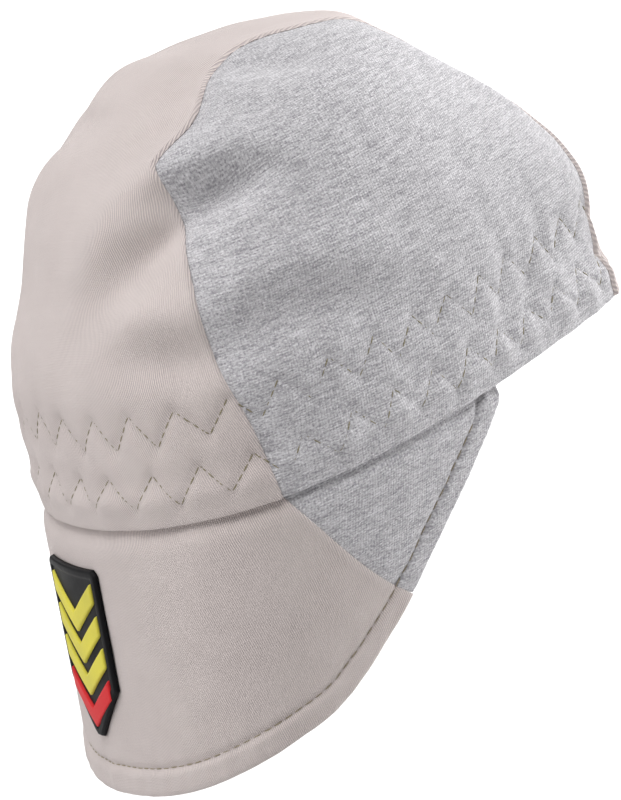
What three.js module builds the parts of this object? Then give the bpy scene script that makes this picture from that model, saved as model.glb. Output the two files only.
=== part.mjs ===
// Welding cap: an unlined cloth crown of three panels, with a flap that hangs from its front
// edge and carries a rubber badge. Units are millimetres and +Z is up. The flap is on the -Y
// side, and the origin is the middle of the opening, where the cap sits on a head.
import * as THREE from 'three';

// Sizes of the crown. A reach is measured from the origin to the opening's edge.
const FRONT_REACH = 99.5;
const BACK_REACH = 101.5;
const HALF_WIDTH = 68.5; // at the origin, before the front of the opening swells out
const CROWN_HEIGHT = 126.6; // square to the opening
const OPENING_PITCH = 19; // degrees, with the front of the opening lower
const CLOTH = 1.5;
const SEAM_GAP = 0.3; // between two pieces that are sewn edge to edge
const DENT_DEPTH = 5;
const FRONT_SEAM_ANGLE = 59.5; // degrees round the opening, from the front
const BACK_SEAM_ANGLE = 160.5;

// Sizes of the flap. It is sewn inside the crown's edge, behind the band.
const FLAP_DEPTH = 88;
const FLAP_LAP = 9; // height of the stretch inside the crown
const FLAP_CLEARANCE = 0.5; // between that stretch and the crown
const FLAP_LEAN = 10.5; // degrees inwards at the front
const FLAP_SPRING = 3; // how far the free flap stands out again below the crown's edge
const FLAP_SPRING_DROP = 4; // over about this drop
const FLAP_END_ANGLE = 110; // degrees round the opening, from the front
const FLAP_SEAM_ANGLE = 89; // where the flap's seams meet its lower edge

// Sizes of the badge.
const BADGE_LENGTH = 56.5;
const BADGE_WIDTH = 38;
const BADGE_THICKNESS = 1.6;
const BADGE_DROP = 13; // from the crown's edge down to the badge
const BADGE_OFFSET = 6; // to the left of the flap's middle
const BADGE_LEAN = 3; // how far its foot lies to the left of its top
const BADGE_SEAT = 0.3; // between the badge and the flap
const CHEVRON_THICKNESS = 0.8;
const CHEVRON_HEIGHT = 7;
const CHEVRON_PITCH = 10.5;
const CHEVRON_MARGIN = 3.5; // from a chevron's ends to the badge's sides
const CHEVRON_DROP = 4; // from the badge's top to the first chevron's ends
const CHEVRON_SAG = 11; // how far a chevron's point hangs below its ends

// Horizontal sections of the crown, evenly spaced up the cloth from the opening to the top. Rise
// is a share of CROWN_HEIGHT, front, back and width are shares of the reaches and of HALF_WIDTH,
// and swell widens the front of a section and narrows its back by that share.
const CROWN_SECTIONS = [
  { rise: 0, front: 1, back: 1.035, width: 1, swell: 0.54 },
  { rise: 0.18, front: 0.98, back: 1.005, width: 1.04, swell: 0.5 },
  { rise: 0.36, front: 0.945, back: 1.015, width: 1.06, swell: 0.44 },
  { rise: 0.54, front: 0.835, back: 0.885, width: 1.05, swell: 0.38 },
  { rise: 0.72, front: 0.72, back: 0.69, width: 0.96, swell: 0.3 },
  { rise: 0.87, front: 0.53, back: 0.515, width: 0.78, swell: 0.2 },
  { rise: 0.962, front: 0.365, back: 0.35, width: 0.45, swell: 0.08 },
  { rise: 1, front: 0, back: 0, width: 0, swell: 0 },
];

// The crown's chart is a flat disc. Its middle is the top of the crown and its rim is the
// opening, with the front at along -1 and the left side at across 1. These points lie on the seam
// between the strip and the left side panel.
const FRONT_SEAM = [
  { across: 0.705, along: -0.462 },
  { across: 0.525, along: -0.413 },
  { across: 0.375, along: -0.342 },
];
const SEAM_CORNER = { across: 0.234, along: -0.266 };
const TOP_SEAM = [
  { across: 0.217, along: -0.175 },
  { across: 0.184, along: -0.114 },
  { across: 0.128, along: -0.05 },
  { across: 0.097, along: 0.005 },
  { across: 0.097, along: 0.07 },
  { across: 0.09, along: 0.15 },
  { across: 0.09, along: 0.28 },
  { across: 0.095, along: 0.42 },
  { across: 0.13, along: 0.56 },
];
const SEAM_PINCH = { across: 0.196, along: 0.69 };
const BACK_SEAM = [
  { across: 0.246, along: 0.78 },
  { across: 0.295, along: 0.875 },
];

// Dents pressed into the crown, in the chart. Length and breadth are the half sizes of a dent,
// heading turns its length from the across direction, in degrees, and depth is a share of
// DENT_DEPTH, negative where the cloth bulges.
const DENTS = [
  { across: 0.29, along: -0.395, length: 0.16, breadth: 0.055, heading: 63, depth: 1.15 },
  { across: 0.22, along: -0.365, length: 0.16, breadth: 0.055, heading: 62, depth: -0.6 },
  { across: 0.385, along: -0.465, length: 0.12, breadth: 0.045, heading: 35, depth: -0.5 },
  { across: 0.445, along: -0.51, length: 0.12, breadth: 0.045, heading: 37, depth: 0.75 },
  { across: 0.285, along: -0.185, length: 0.13, breadth: 0.045, heading: 56, depth: -0.9 },
  { across: 0.33, along: -0.235, length: 0.13, breadth: 0.045, heading: 56, depth: 1.6 },
  { across: 0.555, along: -0.17, length: 0.25, breadth: 0.05, heading: 69, depth: -0.5 },
  { across: 0.63, along: -0.21, length: 0.26, breadth: 0.055, heading: 68, depth: 0.7 },
  { across: 0.175, along: 0, length: 0.09, breadth: 0.045, heading: 62, depth: 0.65 },
  { across: -0.08, along: -0.24, length: 0.13, breadth: 0.045, heading: 12, depth: 0.5 },
  { across: -0.1, along: -0.35, length: 0.15, breadth: 0.05, heading: 12, depth: -0.4 },
  { across: -0.36, along: -0.46, length: 0.14, breadth: 0.06, heading: 145, depth: 0.6 },
  { across: -0.42, along: -0.08, length: 0.2, breadth: 0.07, heading: 110, depth: 0.6 },
  { across: -0.04, along: -0.1, length: 0.2, breadth: 0.045, heading: 5, depth: -0.4 },
  { across: 0, along: 0.44, length: 0.22, breadth: 0.09, heading: 90, depth: 0.55 },
  { across: 0.15, along: 0.42, length: 0.22, breadth: 0.06, heading: 90, depth: -0.25 },
];

// The flap's depth as a share of FLAP_DEPTH, evenly spaced from the middle of the front to the
// flap's end.
const FLAP_EDGE = [1, 0.993, 0.985, 0.967, 0.935, 0.895, 0.83, 0.65, 0.36, 0.06];
const FLAP_SEAM_BOW = 1.5; // above 1 the flap's seam bows towards the flap's end

// The badge's half width as a share of half of BADGE_WIDTH, from its top edge to its point.
const BADGE_OUTLINE = [
  { down: 0, width: 0.9 },
  { down: 0.03, width: 1 },
  { down: 0.7, width: 1 },
  { down: 0.98, width: 0.16 },
  { down: 1, width: 0.08 },
];

// Mesh steps. A seam has the same steps on both of its sides.
const FRONT_STEPS = 14;
const TOP_STEPS = 26;
const BACK_STEPS = 7;
const STRIP_COLUMNS = 20;
const FLAP_ROWS = 10;
const FLAP_LAP_ROWS = 2; // of the flap's rows, those inside the crown
const FLAP_COLUMNS = 24;
const FLAP_END_COLUMNS = 8;
const BADGE_COLUMNS = 8;
const BADGE_ROWS = 12;
const FRONT_STRAIGHTENING = 2; // power by which the strip's rows straighten away from the front
const BACK_STRAIGHTENING = 6; // and away from the back
const PROBE = 1e-4; // step in a chart for slopes

const COTTON = { color: '#cdc3be', roughness: 0.9, metalness: 0 };
const JERSEY = { color: '#bbbbc0', roughness: 0.95, metalness: 0 };
const BLACK_RUBBER = { color: '#1c1b1d', roughness: 0.6, metalness: 0 };
const YELLOW_RUBBER = { color: '#d2c84f', roughness: 0.55, metalness: 0 };
const RED_RUBBER = { color: '#d93a3a', roughness: 0.55, metalness: 0 };

const mix = THREE.MathUtils.lerp;
const radians = THREE.MathUtils.degToRad;

function smoothCurve(before, from, to, after, t) {
  const slopeFrom = (to - before) / 2;
  const slopeTo = (after - from) / 2;
  const square = t * t;
  const cube = square * t;
  return (2 * cube - 3 * square + 1) * from + (cube - 2 * square + t) * slopeFrom
    + (3 * square - 2 * cube) * to + (cube - square) * slopeTo;
}

// The crown's section at a share of the way from the opening to the top.
function sectionAt(up) {
  const last = CROWN_SECTIONS.length - 1;
  const place = up * last;
  const row = THREE.MathUtils.clamp(Math.floor(place), 0, last - 1);
  const section = {};
  for (const name of Object.keys(CROWN_SECTIONS[0])) {
    const value = (index) => CROWN_SECTIONS[index][name];
    const before = row > 0 ? value(row - 1) : 2 * value(0) - value(1);
    const evenOverTop = name === 'rise' || name === 'swell' ? 1 : -1;
    const after = row + 2 <= last ? value(row + 2) : evenOverTop * value(last - 1);
    section[name] = smoothCurve(before, value(row), value(row + 1), after, place - row);
  }
  return section;
}

function pitched(x, y, z) {
  return new THREE.Vector3(x, y, z).applyAxisAngle(new THREE.Vector3(1, 0, 0), radians(OPENING_PITCH));
}

// The crown's outer surface before it is dented.
function fullCrown(across, along) {
  const out = Math.hypot(across, along);
  const sine = out > 0 ? across / out : 0;
  const cosine = out > 0 ? -along / out : 1;
  const section = sectionAt(1 - out);
  const reach = mix(FRONT_REACH * section.front, BACK_REACH * section.back, (1 - cosine) / 2);
  const halfWidth = HALF_WIDTH * section.width * (1 + section.swell * cosine);
  return pitched(halfWidth * sine, -reach * cosine, CROWN_HEIGHT * section.rise);
}

// The outward unit normal of a surface, which is a function of two numbers.
function normalOf(surface, u, v) {
  const overU = surface(u + PROBE, v).sub(surface(u - PROBE, v));
  const overV = surface(u, v + PROBE).sub(surface(u, v - PROBE));
  return overU.cross(overV).normalize();
}

function dentAt(across, along) {
  let depth = 0;
  for (const dent of DENTS) {
    const turn = radians(dent.heading);
    const x = across - dent.across;
    const y = along - dent.along;
    const lengthways = (x * Math.cos(turn) + y * Math.sin(turn)) / dent.length;
    const crossways = (y * Math.cos(turn) - x * Math.sin(turn)) / dent.breadth;
    depth += dent.depth * Math.exp(-(lengthways ** 2) - crossways ** 2);
  }
  return depth * DENT_DEPTH;
}

function crown(across, along) {
  const inwards = normalOf(fullCrown, across, along).multiplyScalar(-dentAt(across, along));
  return fullCrown(across, along).add(inwards);
}

// A closed shell over the unit square: a grid on the surface, the same grid one wall further in,
// and the four edges between them.
function shellGeometry(surface, columns, rows, wall) {
  const positions = [];
  const indices = [];
  const perLayer = (columns + 1) * (rows + 1);
  for (const depth of [0, wall]) {
    for (let row = 0; row <= rows; row += 1) {
      for (let column = 0; column <= columns; column += 1) {
        const { point, normal } = surface(column / columns, row / rows);
        positions.push(...point.addScaledVector(normal, -depth).toArray());
      }
    }
  }
  const at = (layer, column, row) => layer * perLayer + row * (columns + 1) + column;
  const quad = (a, b, c, d) => indices.push(a, b, c, a, c, d);
  for (let row = 0; row < rows; row += 1) {
    for (let column = 0; column < columns; column += 1) {
      quad(at(0, column, row), at(0, column + 1, row), at(0, column + 1, row + 1), at(0, column, row + 1));
      quad(at(1, column, row), at(1, column, row + 1), at(1, column + 1, row + 1), at(1, column + 1, row));
    }
    quad(at(0, 0, row), at(0, 0, row + 1), at(1, 0, row + 1), at(1, 0, row));
    quad(at(0, columns, row + 1), at(0, columns, row), at(1, columns, row), at(1, columns, row + 1));
  }
  for (let column = 0; column < columns; column += 1) {
    quad(at(0, column + 1, 0), at(0, column, 0), at(1, column, 0), at(1, column + 1, 0));
    quad(at(0, column, rows), at(0, column + 1, rows), at(1, column + 1, rows), at(1, column, rows));
  }
  const geometry = new THREE.BufferGeometry();
  geometry.setAttribute('position', new THREE.Float32BufferAttribute(positions, 3));
  geometry.setIndex(indices);
  geometry.computeVertexNormals();
  return geometry;
}

function onOpening(degrees) {
  return { across: Math.sin(radians(degrees)), along: -Math.cos(radians(degrees)) };
}

function evenPoints(knots, steps) {
  const curve = new THREE.SplineCurve(knots.map(({ across, along }) => new THREE.Vector2(across, along)));
  return curve.getSpacedPoints(steps);
}

// The whole left seam from the front of the opening to its back, as chart points.
function seamPoints() {
  const front = evenPoints([onOpening(FRONT_SEAM_ANGLE), ...FRONT_SEAM, SEAM_CORNER], FRONT_STEPS);
  const top = evenPoints([SEAM_CORNER, ...TOP_SEAM, SEAM_PINCH], TOP_STEPS);
  const back = evenPoints([SEAM_PINCH, ...BACK_SEAM, onOpening(BACK_SEAM_ANGLE)], BACK_STEPS);
  return [...front, ...top.slice(1), ...back.slice(1)];
}

// The seam moved sideways by half of the seam's gap, to the side panel (1) or to the strip (-1).
function clearedSeam(side) {
  const seam = seamPoints();
  return seam.map((point, index) => {
    const before = seam[Math.max(index - 1, 0)];
    const after = seam[Math.min(index + 1, seam.length - 1)];
    const sideways = new THREE.Vector2(after.y - before.y, before.x - after.x).normalize();
    const probe = point.clone().addScaledVector(sideways, PROBE);
    const stretch = fullCrown(probe.x, probe.y).distanceTo(fullCrown(point.x, point.y)) / PROBE;
    return point.clone().addScaledVector(sideways, (side * SEAM_GAP) / 2 / stretch);
  });
}

function pointAlong(points, share) {
  const place = share * (points.length - 1);
  const index = Math.min(Math.floor(place), points.length - 2);
  return points[index].clone().lerp(points[index + 1], place - index);
}

// An arc of the opening in the chart, from one end to the other by way of a polar angle.
function openingArc(from, to, share) {
  const angle = mix(Math.atan2(from.x, -from.y), Math.atan2(to.x, -to.y), share);
  const out = mix(from.length(), to.length(), share);
  return new THREE.Vector2(out * Math.sin(angle), -out * Math.cos(angle));
}

// From the right seam's point that mirrors a point on the left seam, across to that point.
function acrossStrip(left, s) {
  return new THREE.Vector2(mix(-left.x, left.x, s), left.y);
}

// How far the opening's arc stands off the straight line between the two seams' ends.
function arcOffChord(end, s) {
  const turn = end.y > 0 ? Math.PI : 0; // where the middle of the arc lies round the opening
  const angle = turn + (2 * s - 1) * (Math.atan2(end.x, -end.y) - turn);
  const arc = new THREE.Vector2(end.length() * Math.sin(angle), -end.length() * Math.cos(angle));
  return arc.sub(acrossStrip(end, s));
}

// The centre strip: rows run across it from the right seam to the left one. Rows near the
// opening follow its arc.
function stripChart() {
  const seam = clearedSeam(-1);
  return (s, t) => {
    const place = acrossStrip(pointAlong(seam, t), s);
    place.addScaledVector(arcOffChord(seam[0], s), Math.max(1 - 2 * t, 0) ** FRONT_STRAIGHTENING);
    place.addScaledVector(arcOffChord(seam.at(-1), s), Math.max(2 * t - 1, 0) ** BACK_STRAIGHTENING);
    return place;
  };
}

// A side panel: columns run from the opening up to the top seam, between the front seam and the
// short back seam.
function sidePanelChart() {
  const seam = clearedSeam(1);
  const front = seam.slice(0, FRONT_STEPS + 1);
  const top = seam.slice(FRONT_STEPS, FRONT_STEPS + TOP_STEPS + 1);
  const back = seam.slice(FRONT_STEPS + TOP_STEPS).reverse();
  return (s, t) => {
    const point = openingArc(front[0], back[0], s).multiplyScalar(1 - t);
    point.addScaledVector(pointAlong(top, s), t);
    point.addScaledVector(pointAlong(front, t), 1 - s);
    point.addScaledVector(pointAlong(back, t), s);
    point.addScaledVector(front[0], -(1 - s) * (1 - t));
    point.addScaledVector(back[0], -s * (1 - t));
    point.addScaledVector(top[0], -(1 - s) * t);
    point.addScaledVector(top[TOP_STEPS], -s * t);
    return point;
  };
}

function crownPanel(chart, side, columns, rows) {
  const surface = (s, t) => {
    const place = chart(side > 0 ? s : 1 - s, t);
    const point = crown(side * place.x, place.y);
    return { point, normal: normalOf(crown, side * place.x, place.y) };
  };
  return shellGeometry(surface, columns, rows, CLOTH);
}

// The depth of the flap in millimetres at an angle round the opening, in radians.
function flapDepth(angle) {
  const last = FLAP_EDGE.length - 1;
  const place = Math.min(Math.abs(angle) / radians(FLAP_END_ANGLE), 1) * last;
  const index = Math.min(Math.floor(place), last - 1);
  const value = (at) => FLAP_EDGE[at];
  const before = index > 0 ? value(index - 1) : value(1);
  const after = index + 2 <= last ? value(index + 2) : 2 * value(last) - value(last - 1);
  return FLAP_DEPTH * smoothCurve(before, value(index), value(index + 1), after, place - index);
}

// The flap's outer surface. Drop is measured down from the opening's edge, and is negative for
// the lap inside the crown.
function flap(angle, drop) {
  const rim = onOpening(THREE.MathUtils.radToDeg(angle));
  const inner = 1 - PROBE;
  const stretch = fullCrown(rim.across, rim.along)
    .distanceTo(fullCrown(rim.across * inner, rim.along * inner)) / PROBE;
  const out = 1 + Math.min(drop, 0) / stretch;
  const across = rim.across * out;
  const along = rim.along * out;
  const inset = normalOf(crown, across, along).multiplyScalar(-CLOTH - FLAP_CLEARANCE);
  const start = crown(across, along).add(inset);
  const lean = Math.tan(radians(FLAP_LEAN)) * Math.cos(angle / 2) ** 2;
  const down = new THREE.Vector3(-lean * rim.across, -lean * rim.along, -1).normalize();
  const free = Math.max(drop, 0);
  const spring = FLAP_SPRING * (1 - Math.exp(-((free / FLAP_SPRING_DROP) ** 2)));
  return start.addScaledVector(down, free).addScaledVector(inset.normalize(), -spring);
}

function flapSeamAngle(share) {
  const bowed = share * (FLAP_SEAM_BOW - (FLAP_SEAM_BOW - 1) * share);
  return radians(mix(FRONT_SEAM_ANGLE, FLAP_SEAM_ANGLE, Math.max(bowed, 0)));
}

// A piece of the flap between two edges, which are functions of the share of the way down.
function flapPiece(fromAngle, toAngle, columns) {
  const lapShare = FLAP_LAP_ROWS / FLAP_ROWS;
  const surface = (s, t) => {
    const down = 1 - t;
    const share = Math.max(down - lapShare, 0) / (1 - lapShare);
    const angle = mix(fromAngle(share), toAngle(share), s);
    const lap = FLAP_LAP * Math.max(1 - down / lapShare, 0);
    const drop = share * flapDepth(angle) - lap;
    const aside = (lap > 0 ? -PROBE : PROBE) * FLAP_DEPTH; // clear of the bend at the crown's edge
    const normal = normalOf(flap, angle, drop + aside).negate();
    return { point: flap(angle, drop), normal };
  };
  return shellGeometry(surface, columns, FLAP_ROWS, CLOTH);
}

// A point over the flap's front: sideways and down in millimetres, lifted off the cloth.
function overFlap(sideways, down, lift) {
  const leant = BADGE_LEAN * ((down - BADGE_DROP) / BADGE_LENGTH - 0.5);
  const angle = (BADGE_OFFSET + leant + sideways) / FRONT_REACH;
  const normal = normalOf(flap, angle, down).negate();
  return { point: flap(angle, down).addScaledVector(normal, lift), normal };
}

function badgeHalfWidth(down) {
  const next = Math.max(BADGE_OUTLINE.findIndex((row) => row.down >= down), 1);
  const low = BADGE_OUTLINE[next - 1];
  const high = BADGE_OUTLINE[next];
  const share = (down - low.down) / (high.down - low.down);
  return (mix(low.width, high.width, share) * BADGE_WIDTH) / 2;
}

function badgeBase() {
  const outline = (s, t) => {
    const down = 1 - t;
    const sideways = (2 * s - 1) * badgeHalfWidth(down);
    return overFlap(sideways, BADGE_DROP + down * BADGE_LENGTH, BADGE_SEAT + BADGE_THICKNESS);
  };
  return shellGeometry(outline, BADGE_COLUMNS, BADGE_ROWS, BADGE_THICKNESS);
}

function chevron(index) {
  const lift = 2 * BADGE_SEAT + BADGE_THICKNESS + CHEVRON_THICKNESS;
  const halfSpan = BADGE_WIDTH / 2 - CHEVRON_MARGIN;
  const surface = (s, t) => {
    const sideways = (2 * s - 1) * halfSpan;
    const sag = CHEVRON_SAG * (1 - Math.abs(2 * s - 1));
    const down = CHEVRON_DROP + index * CHEVRON_PITCH + sag + (1 - t) * CHEVRON_HEIGHT;
    return overFlap(sideways, BADGE_DROP + down, lift);
  };
  return shellGeometry(surface, BADGE_COLUMNS, 1, CHEVRON_THICKNESS);
}

const cap = new THREE.Group();

function addPiece(name, geometry, finish) {
  const mesh = new THREE.Mesh(geometry, new THREE.MeshStandardMaterial(finish));
  mesh.name = name;
  cap.add(mesh);
}

const seamSteps = FRONT_STEPS + TOP_STEPS + BACK_STEPS;
addPiece('crown_strip', crownPanel(stripChart(), 1, STRIP_COLUMNS, seamSteps), COTTON);
addPiece('side_panel_left', crownPanel(sidePanelChart(), 1, TOP_STEPS, FRONT_STEPS), JERSEY);
addPiece('side_panel_right', crownPanel(sidePanelChart(), -1, TOP_STEPS, FRONT_STEPS), JERSEY);

const sewnGap = SEAM_GAP / HALF_WIDTH / 2;
const rightSeam = (share) => sewnGap - flapSeamAngle(share);
const leftSeam = (share) => flapSeamAngle(share) - sewnGap;
const rightEnd = () => -radians(FLAP_END_ANGLE);
const leftEnd = () => radians(FLAP_END_ANGLE);
const besideRightSeam = (share) => -flapSeamAngle(share) - sewnGap;
const besideLeftSeam = (share) => flapSeamAngle(share) + sewnGap;
addPiece('flap_middle', flapPiece(rightSeam, leftSeam, FLAP_COLUMNS), COTTON);
addPiece('flap_end_left', flapPiece(besideLeftSeam, leftEnd, FLAP_END_COLUMNS), JERSEY);
addPiece('flap_end_right', flapPiece(rightEnd, besideRightSeam, FLAP_END_COLUMNS), JERSEY);

addPiece('badge_base', badgeBase(), BLACK_RUBBER);
const chevronFinishes = [YELLOW_RUBBER, YELLOW_RUBBER, YELLOW_RUBBER, RED_RUBBER];
chevronFinishes.forEach((finish, index) => {
  addPiece(`badge_chevron_${index + 1}`, chevron(index), finish);
});

export default cap;
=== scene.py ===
"""Welding cap, dressed: a cloth crown of three panels, a hanging flap and a moulded rubber badge.

Lengths are metres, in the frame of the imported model: +Z is up, the front is -Y, and the origin is
the middle of the opening. The crown has a chart, a flat disc whose middle is the top of the crown
and whose rim is the opening, with the front at along -1 and the left side at across 1.
"""

import logging
import math
import random
from dataclasses import dataclass, field
from enum import Enum
from typing import Callable

import bmesh
import bpy
import numpy as np
from mathutils import Matrix, Vector, kdtree, noise

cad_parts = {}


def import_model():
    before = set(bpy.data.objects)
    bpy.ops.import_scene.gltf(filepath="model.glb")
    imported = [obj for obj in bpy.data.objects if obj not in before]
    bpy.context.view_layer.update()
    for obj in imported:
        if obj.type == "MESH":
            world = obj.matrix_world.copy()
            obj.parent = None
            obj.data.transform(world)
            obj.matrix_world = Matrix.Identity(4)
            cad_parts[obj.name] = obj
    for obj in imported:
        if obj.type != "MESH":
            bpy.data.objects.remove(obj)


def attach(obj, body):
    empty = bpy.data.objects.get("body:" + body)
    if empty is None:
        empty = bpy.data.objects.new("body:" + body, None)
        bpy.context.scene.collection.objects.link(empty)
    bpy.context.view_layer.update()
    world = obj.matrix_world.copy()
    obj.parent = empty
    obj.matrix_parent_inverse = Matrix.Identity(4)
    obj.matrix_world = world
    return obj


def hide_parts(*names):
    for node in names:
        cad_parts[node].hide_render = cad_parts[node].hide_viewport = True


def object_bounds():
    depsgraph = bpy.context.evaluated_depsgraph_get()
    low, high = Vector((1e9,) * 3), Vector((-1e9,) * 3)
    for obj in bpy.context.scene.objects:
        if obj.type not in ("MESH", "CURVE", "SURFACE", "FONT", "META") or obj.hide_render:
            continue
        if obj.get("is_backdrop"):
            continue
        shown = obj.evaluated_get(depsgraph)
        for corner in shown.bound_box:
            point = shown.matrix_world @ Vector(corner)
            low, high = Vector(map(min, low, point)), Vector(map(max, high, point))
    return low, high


PROBE = 1e-4  # step in a chart for slopes
TOUCHING = 1e-6  # how close two points are that count as one
CURVE_STEPS = 400  # of a curve through knots, before its points are spaced evenly
EDGE_SEGMENTS = 3  # of a cloth's rounded edge
EDGE_ANGLE = math.radians(50)  # corners sharper than this are rounded
THREAD_SEGMENTS = (6, 5)  # of a stitch, round it and along it
UV_NAME = "cloth"
WAVE_TURNS = 20 / math.tau  # bands that a Wave Texture of scale 1 draws across one unit

log = logging.getLogger("welding_cap")

Surface = Callable[[np.ndarray, np.ndarray], tuple[np.ndarray, ...]]


class Cloth(Enum):
    """The two cloths of the cap."""

    TWILL = "cotton_twill"
    JERSEY = "heather_jersey"


class Side(Enum):
    """A side of the cap, by the sign of X."""

    LEFT = 1
    RIGHT = -1


def linear_colour(hex_code: str) -> tuple[float, float, float, float]:
    """Turns an sRGB hex colour into linear red, green, blue and alpha.

    Args:
        hex_code: The colour, such as "#cdc3be".

    Returns:
        The four linear values.
    """
    channels = [int(hex_code[place : place + 2], 16) / 255 for place in (1, 3, 5)]
    linear = [c / 12.92 if c <= 0.04045 else ((c + 0.055) / 1.055) ** 2.4 for c in channels]
    return (*linear, 1.0)


def add_node(
    tree: bpy.types.NodeTree, kind: str, inputs: dict | None = None, **settings: object
) -> bpy.types.Node:
    """Adds a node to a material, with its settings, values and links.

    Args:
        tree: The material's node tree.
        kind: The node's Blender type.
        inputs: For each input, by name or number, a value or the socket that feeds it.
        settings: The node's own properties.

    Returns:
        The new node.
    """
    node = tree.nodes.new(kind)
    for name, value in settings.items():
        setattr(node, name, value)
    for name, value in (inputs or {}).items():
        if isinstance(value, bpy.types.NodeSocket):
            tree.links.new(value, node.inputs[name])
        else:
            node.inputs[name].default_value = value
    return node


def new_material(name: str) -> tuple[bpy.types.Material, bpy.types.NodeTree]:
    """Makes an empty node material.

    Args:
        name: The material's name.

    Returns:
        The material and its node tree.
    """
    material = bpy.data.materials.new(name)
    material.use_nodes = True
    material.node_tree.nodes.clear()
    return material, material.node_tree


def mixed(
    tree: bpy.types.NodeTree, factor: object, low: object, high: object, blend: str = "MIX"
) -> object:
    """Mixes two colours.

    Args:
        tree: The material's node tree.
        factor: How much of the second colour shows, a number or a socket.
        low: The first colour, or the socket that gives it.
        high: The second colour, or the socket that gives it.
        blend: The way of mixing.

    Returns:
        The socket of the mixed colour.
    """
    inputs = {"Factor": factor, 6: low, 7: high}
    node = add_node(tree, "ShaderNodeMix", inputs, data_type="RGBA", blend_type=blend)
    return node.outputs[2]


def remapped(
    tree: bpy.types.NodeTree, value: object, low: float, high: float, to: tuple = (0, 1)
) -> object:
    """Maps a range of a value onto another one, and holds it there.

    Args:
        tree: The material's node tree.
        value: The socket of the value.
        low: The value that gives the first end.
        high: The value that gives the second end.
        to: The two ends.

    Returns:
        The socket of the result.
    """
    inputs = {"Value": value, "From Min": low, "From Max": high, "To Min": to[0], "To Max": to[1]}
    return add_node(tree, "ShaderNodeMapRange", inputs).outputs["Result"]


def combined(tree: bpy.types.NodeTree, operation: str, first: object, second: object) -> object:
    """Joins two numbers by an operation such as MULTIPLY.

    Args:
        tree: The material's node tree.
        operation: The Math node's operation.
        first: The first number, or its socket.
        second: The second number, or its socket.

    Returns:
        The socket of the result.
    """
    return add_node(tree, "ShaderNodeMath", {0: first, 1: second}, operation=operation).outputs[0]


@dataclass(frozen=True)
class CottonTwill:
    """Brushed cotton twill, piece-dyed and washed: matt, with steep diagonal ribs and a warm cast."""

    ground: str = "#d1c6c3"
    # Painted shade: the darker colour of the furrows between the ribs.
    furrow: str = "#9c9193"
    # Painted highlight: the lighter colour that the tops of the ribs take.
    rib_highlight: str = "#d6ccc2"
    rib_pitch: float = 0.00064  # a rib of three warp threads
    pick_pitch: float = 0.0005  # the weft threads that break a rib into grains
    rib_angle: float = -20.0  # degrees off the cloth's length
    rib_height: float = 0.00022
    slub_length: float = 0.00192  # thick places in the yarn
    blotch: float = 0.028  # width of the soft patches that washing leaves
    rib_highlight_share: float = 0.55  # how much of the painted highlight's colour the top of a rib takes

    def material(self) -> bpy.types.Material:
        """Returns the twill's material."""
        material, tree = new_material("Brushed cotton twill")
        place = add_node(tree, "ShaderNodeUVMap", uv_map=UV_NAME).outputs["UV"]
        turn = {"Vector": place, "Rotation": (0, 0, math.radians(self.rib_angle))}
        across_ribs = add_node(tree, "ShaderNodeMapping", turn).outputs["Vector"]
        ribs = add_node(tree, "ShaderNodeTexWave", {
            "Vector": across_ribs,
            "Scale": 1 / self.rib_pitch / WAVE_TURNS,
            "Distortion": 2.2,
            "Detail": 2.0,
            "Detail Scale": 0.35,
        }).outputs["Fac"]
        picks = add_node(tree, "ShaderNodeTexWave", {
            "Vector": place,
            "Scale": 1 / self.pick_pitch / WAVE_TURNS,
            "Distortion": 2.4,
            "Detail": 2.0,
        }, bands_direction="Y").outputs["Fac"]
        slubs = add_node(tree, "ShaderNodeTexNoise", {
            "Vector": across_ribs, "Scale": 1 / self.slub_length, "Detail": 3.0,
        }).outputs["Fac"]
        patches = add_node(tree, "ShaderNodeTexNoise", {
            "Vector": place, "Scale": 1 / self.blotch, "Detail": 3.0, "Roughness": 0.55,
        }).outputs["Fac"]
        # Rubbing and washing wear the ribs away in places, so their contrast comes and goes, and with it
        # the painted shade in the furrows and the painted highlight on the rib tops.
        worn_rib_shading = remapped(tree, patches, 0.36, 0.64, (0.3, 0.85))
        # The furrows between the ribs take the furrow colour as painted shade.
        furrow_shade = combined(tree, "MULTIPLY", combined(tree, "SUBTRACT", 1.0, ribs), worn_rib_shading)
        colour = mixed(tree, furrow_shade, linear_colour(self.ground), linear_colour(self.furrow))
        # The tops of the ribs take a painted highlight, less where they are worn.
        rib_highlight = combined(tree, "MULTIPLY", worn_rib_shading, self.rib_highlight_share)
        lit = combined(tree, "MULTIPLY", remapped(tree, ribs, 0.55, 0.95), rib_highlight)
        colour = mixed(tree, lit, colour, linear_colour(self.rib_highlight))
        shade = remapped(tree, patches, 0.3, 0.7, (0.93, 1.05))
        colour = mixed(tree, 1.0, colour, shade, "MULTIPLY")
        relief = combined(tree, "ADD", ribs, combined(tree, "MULTIPLY", picks, 0.25))
        relief = combined(tree, "ADD", relief, combined(tree, "MULTIPLY", slubs, 0.35))
        bump = add_node(tree, "ShaderNodeBump", {
            "Strength": 0.8, "Distance": self.rib_height, "Height": relief,
        })
        shader = add_node(tree, "ShaderNodeBsdfPrincipled", {
            "Base Color": colour,
            "Roughness": 0.92,
            "IOR": 1.46,
            "Specular IOR Level": 0.2,
            "Sheen Weight": 0.12,
            "Sheen Roughness": 0.6,
            "Normal": bump.outputs["Normal"],
        })
        add_node(tree, "ShaderNodeOutputMaterial", {"Surface": shader.outputs["BSDF"]})
        return material


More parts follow.
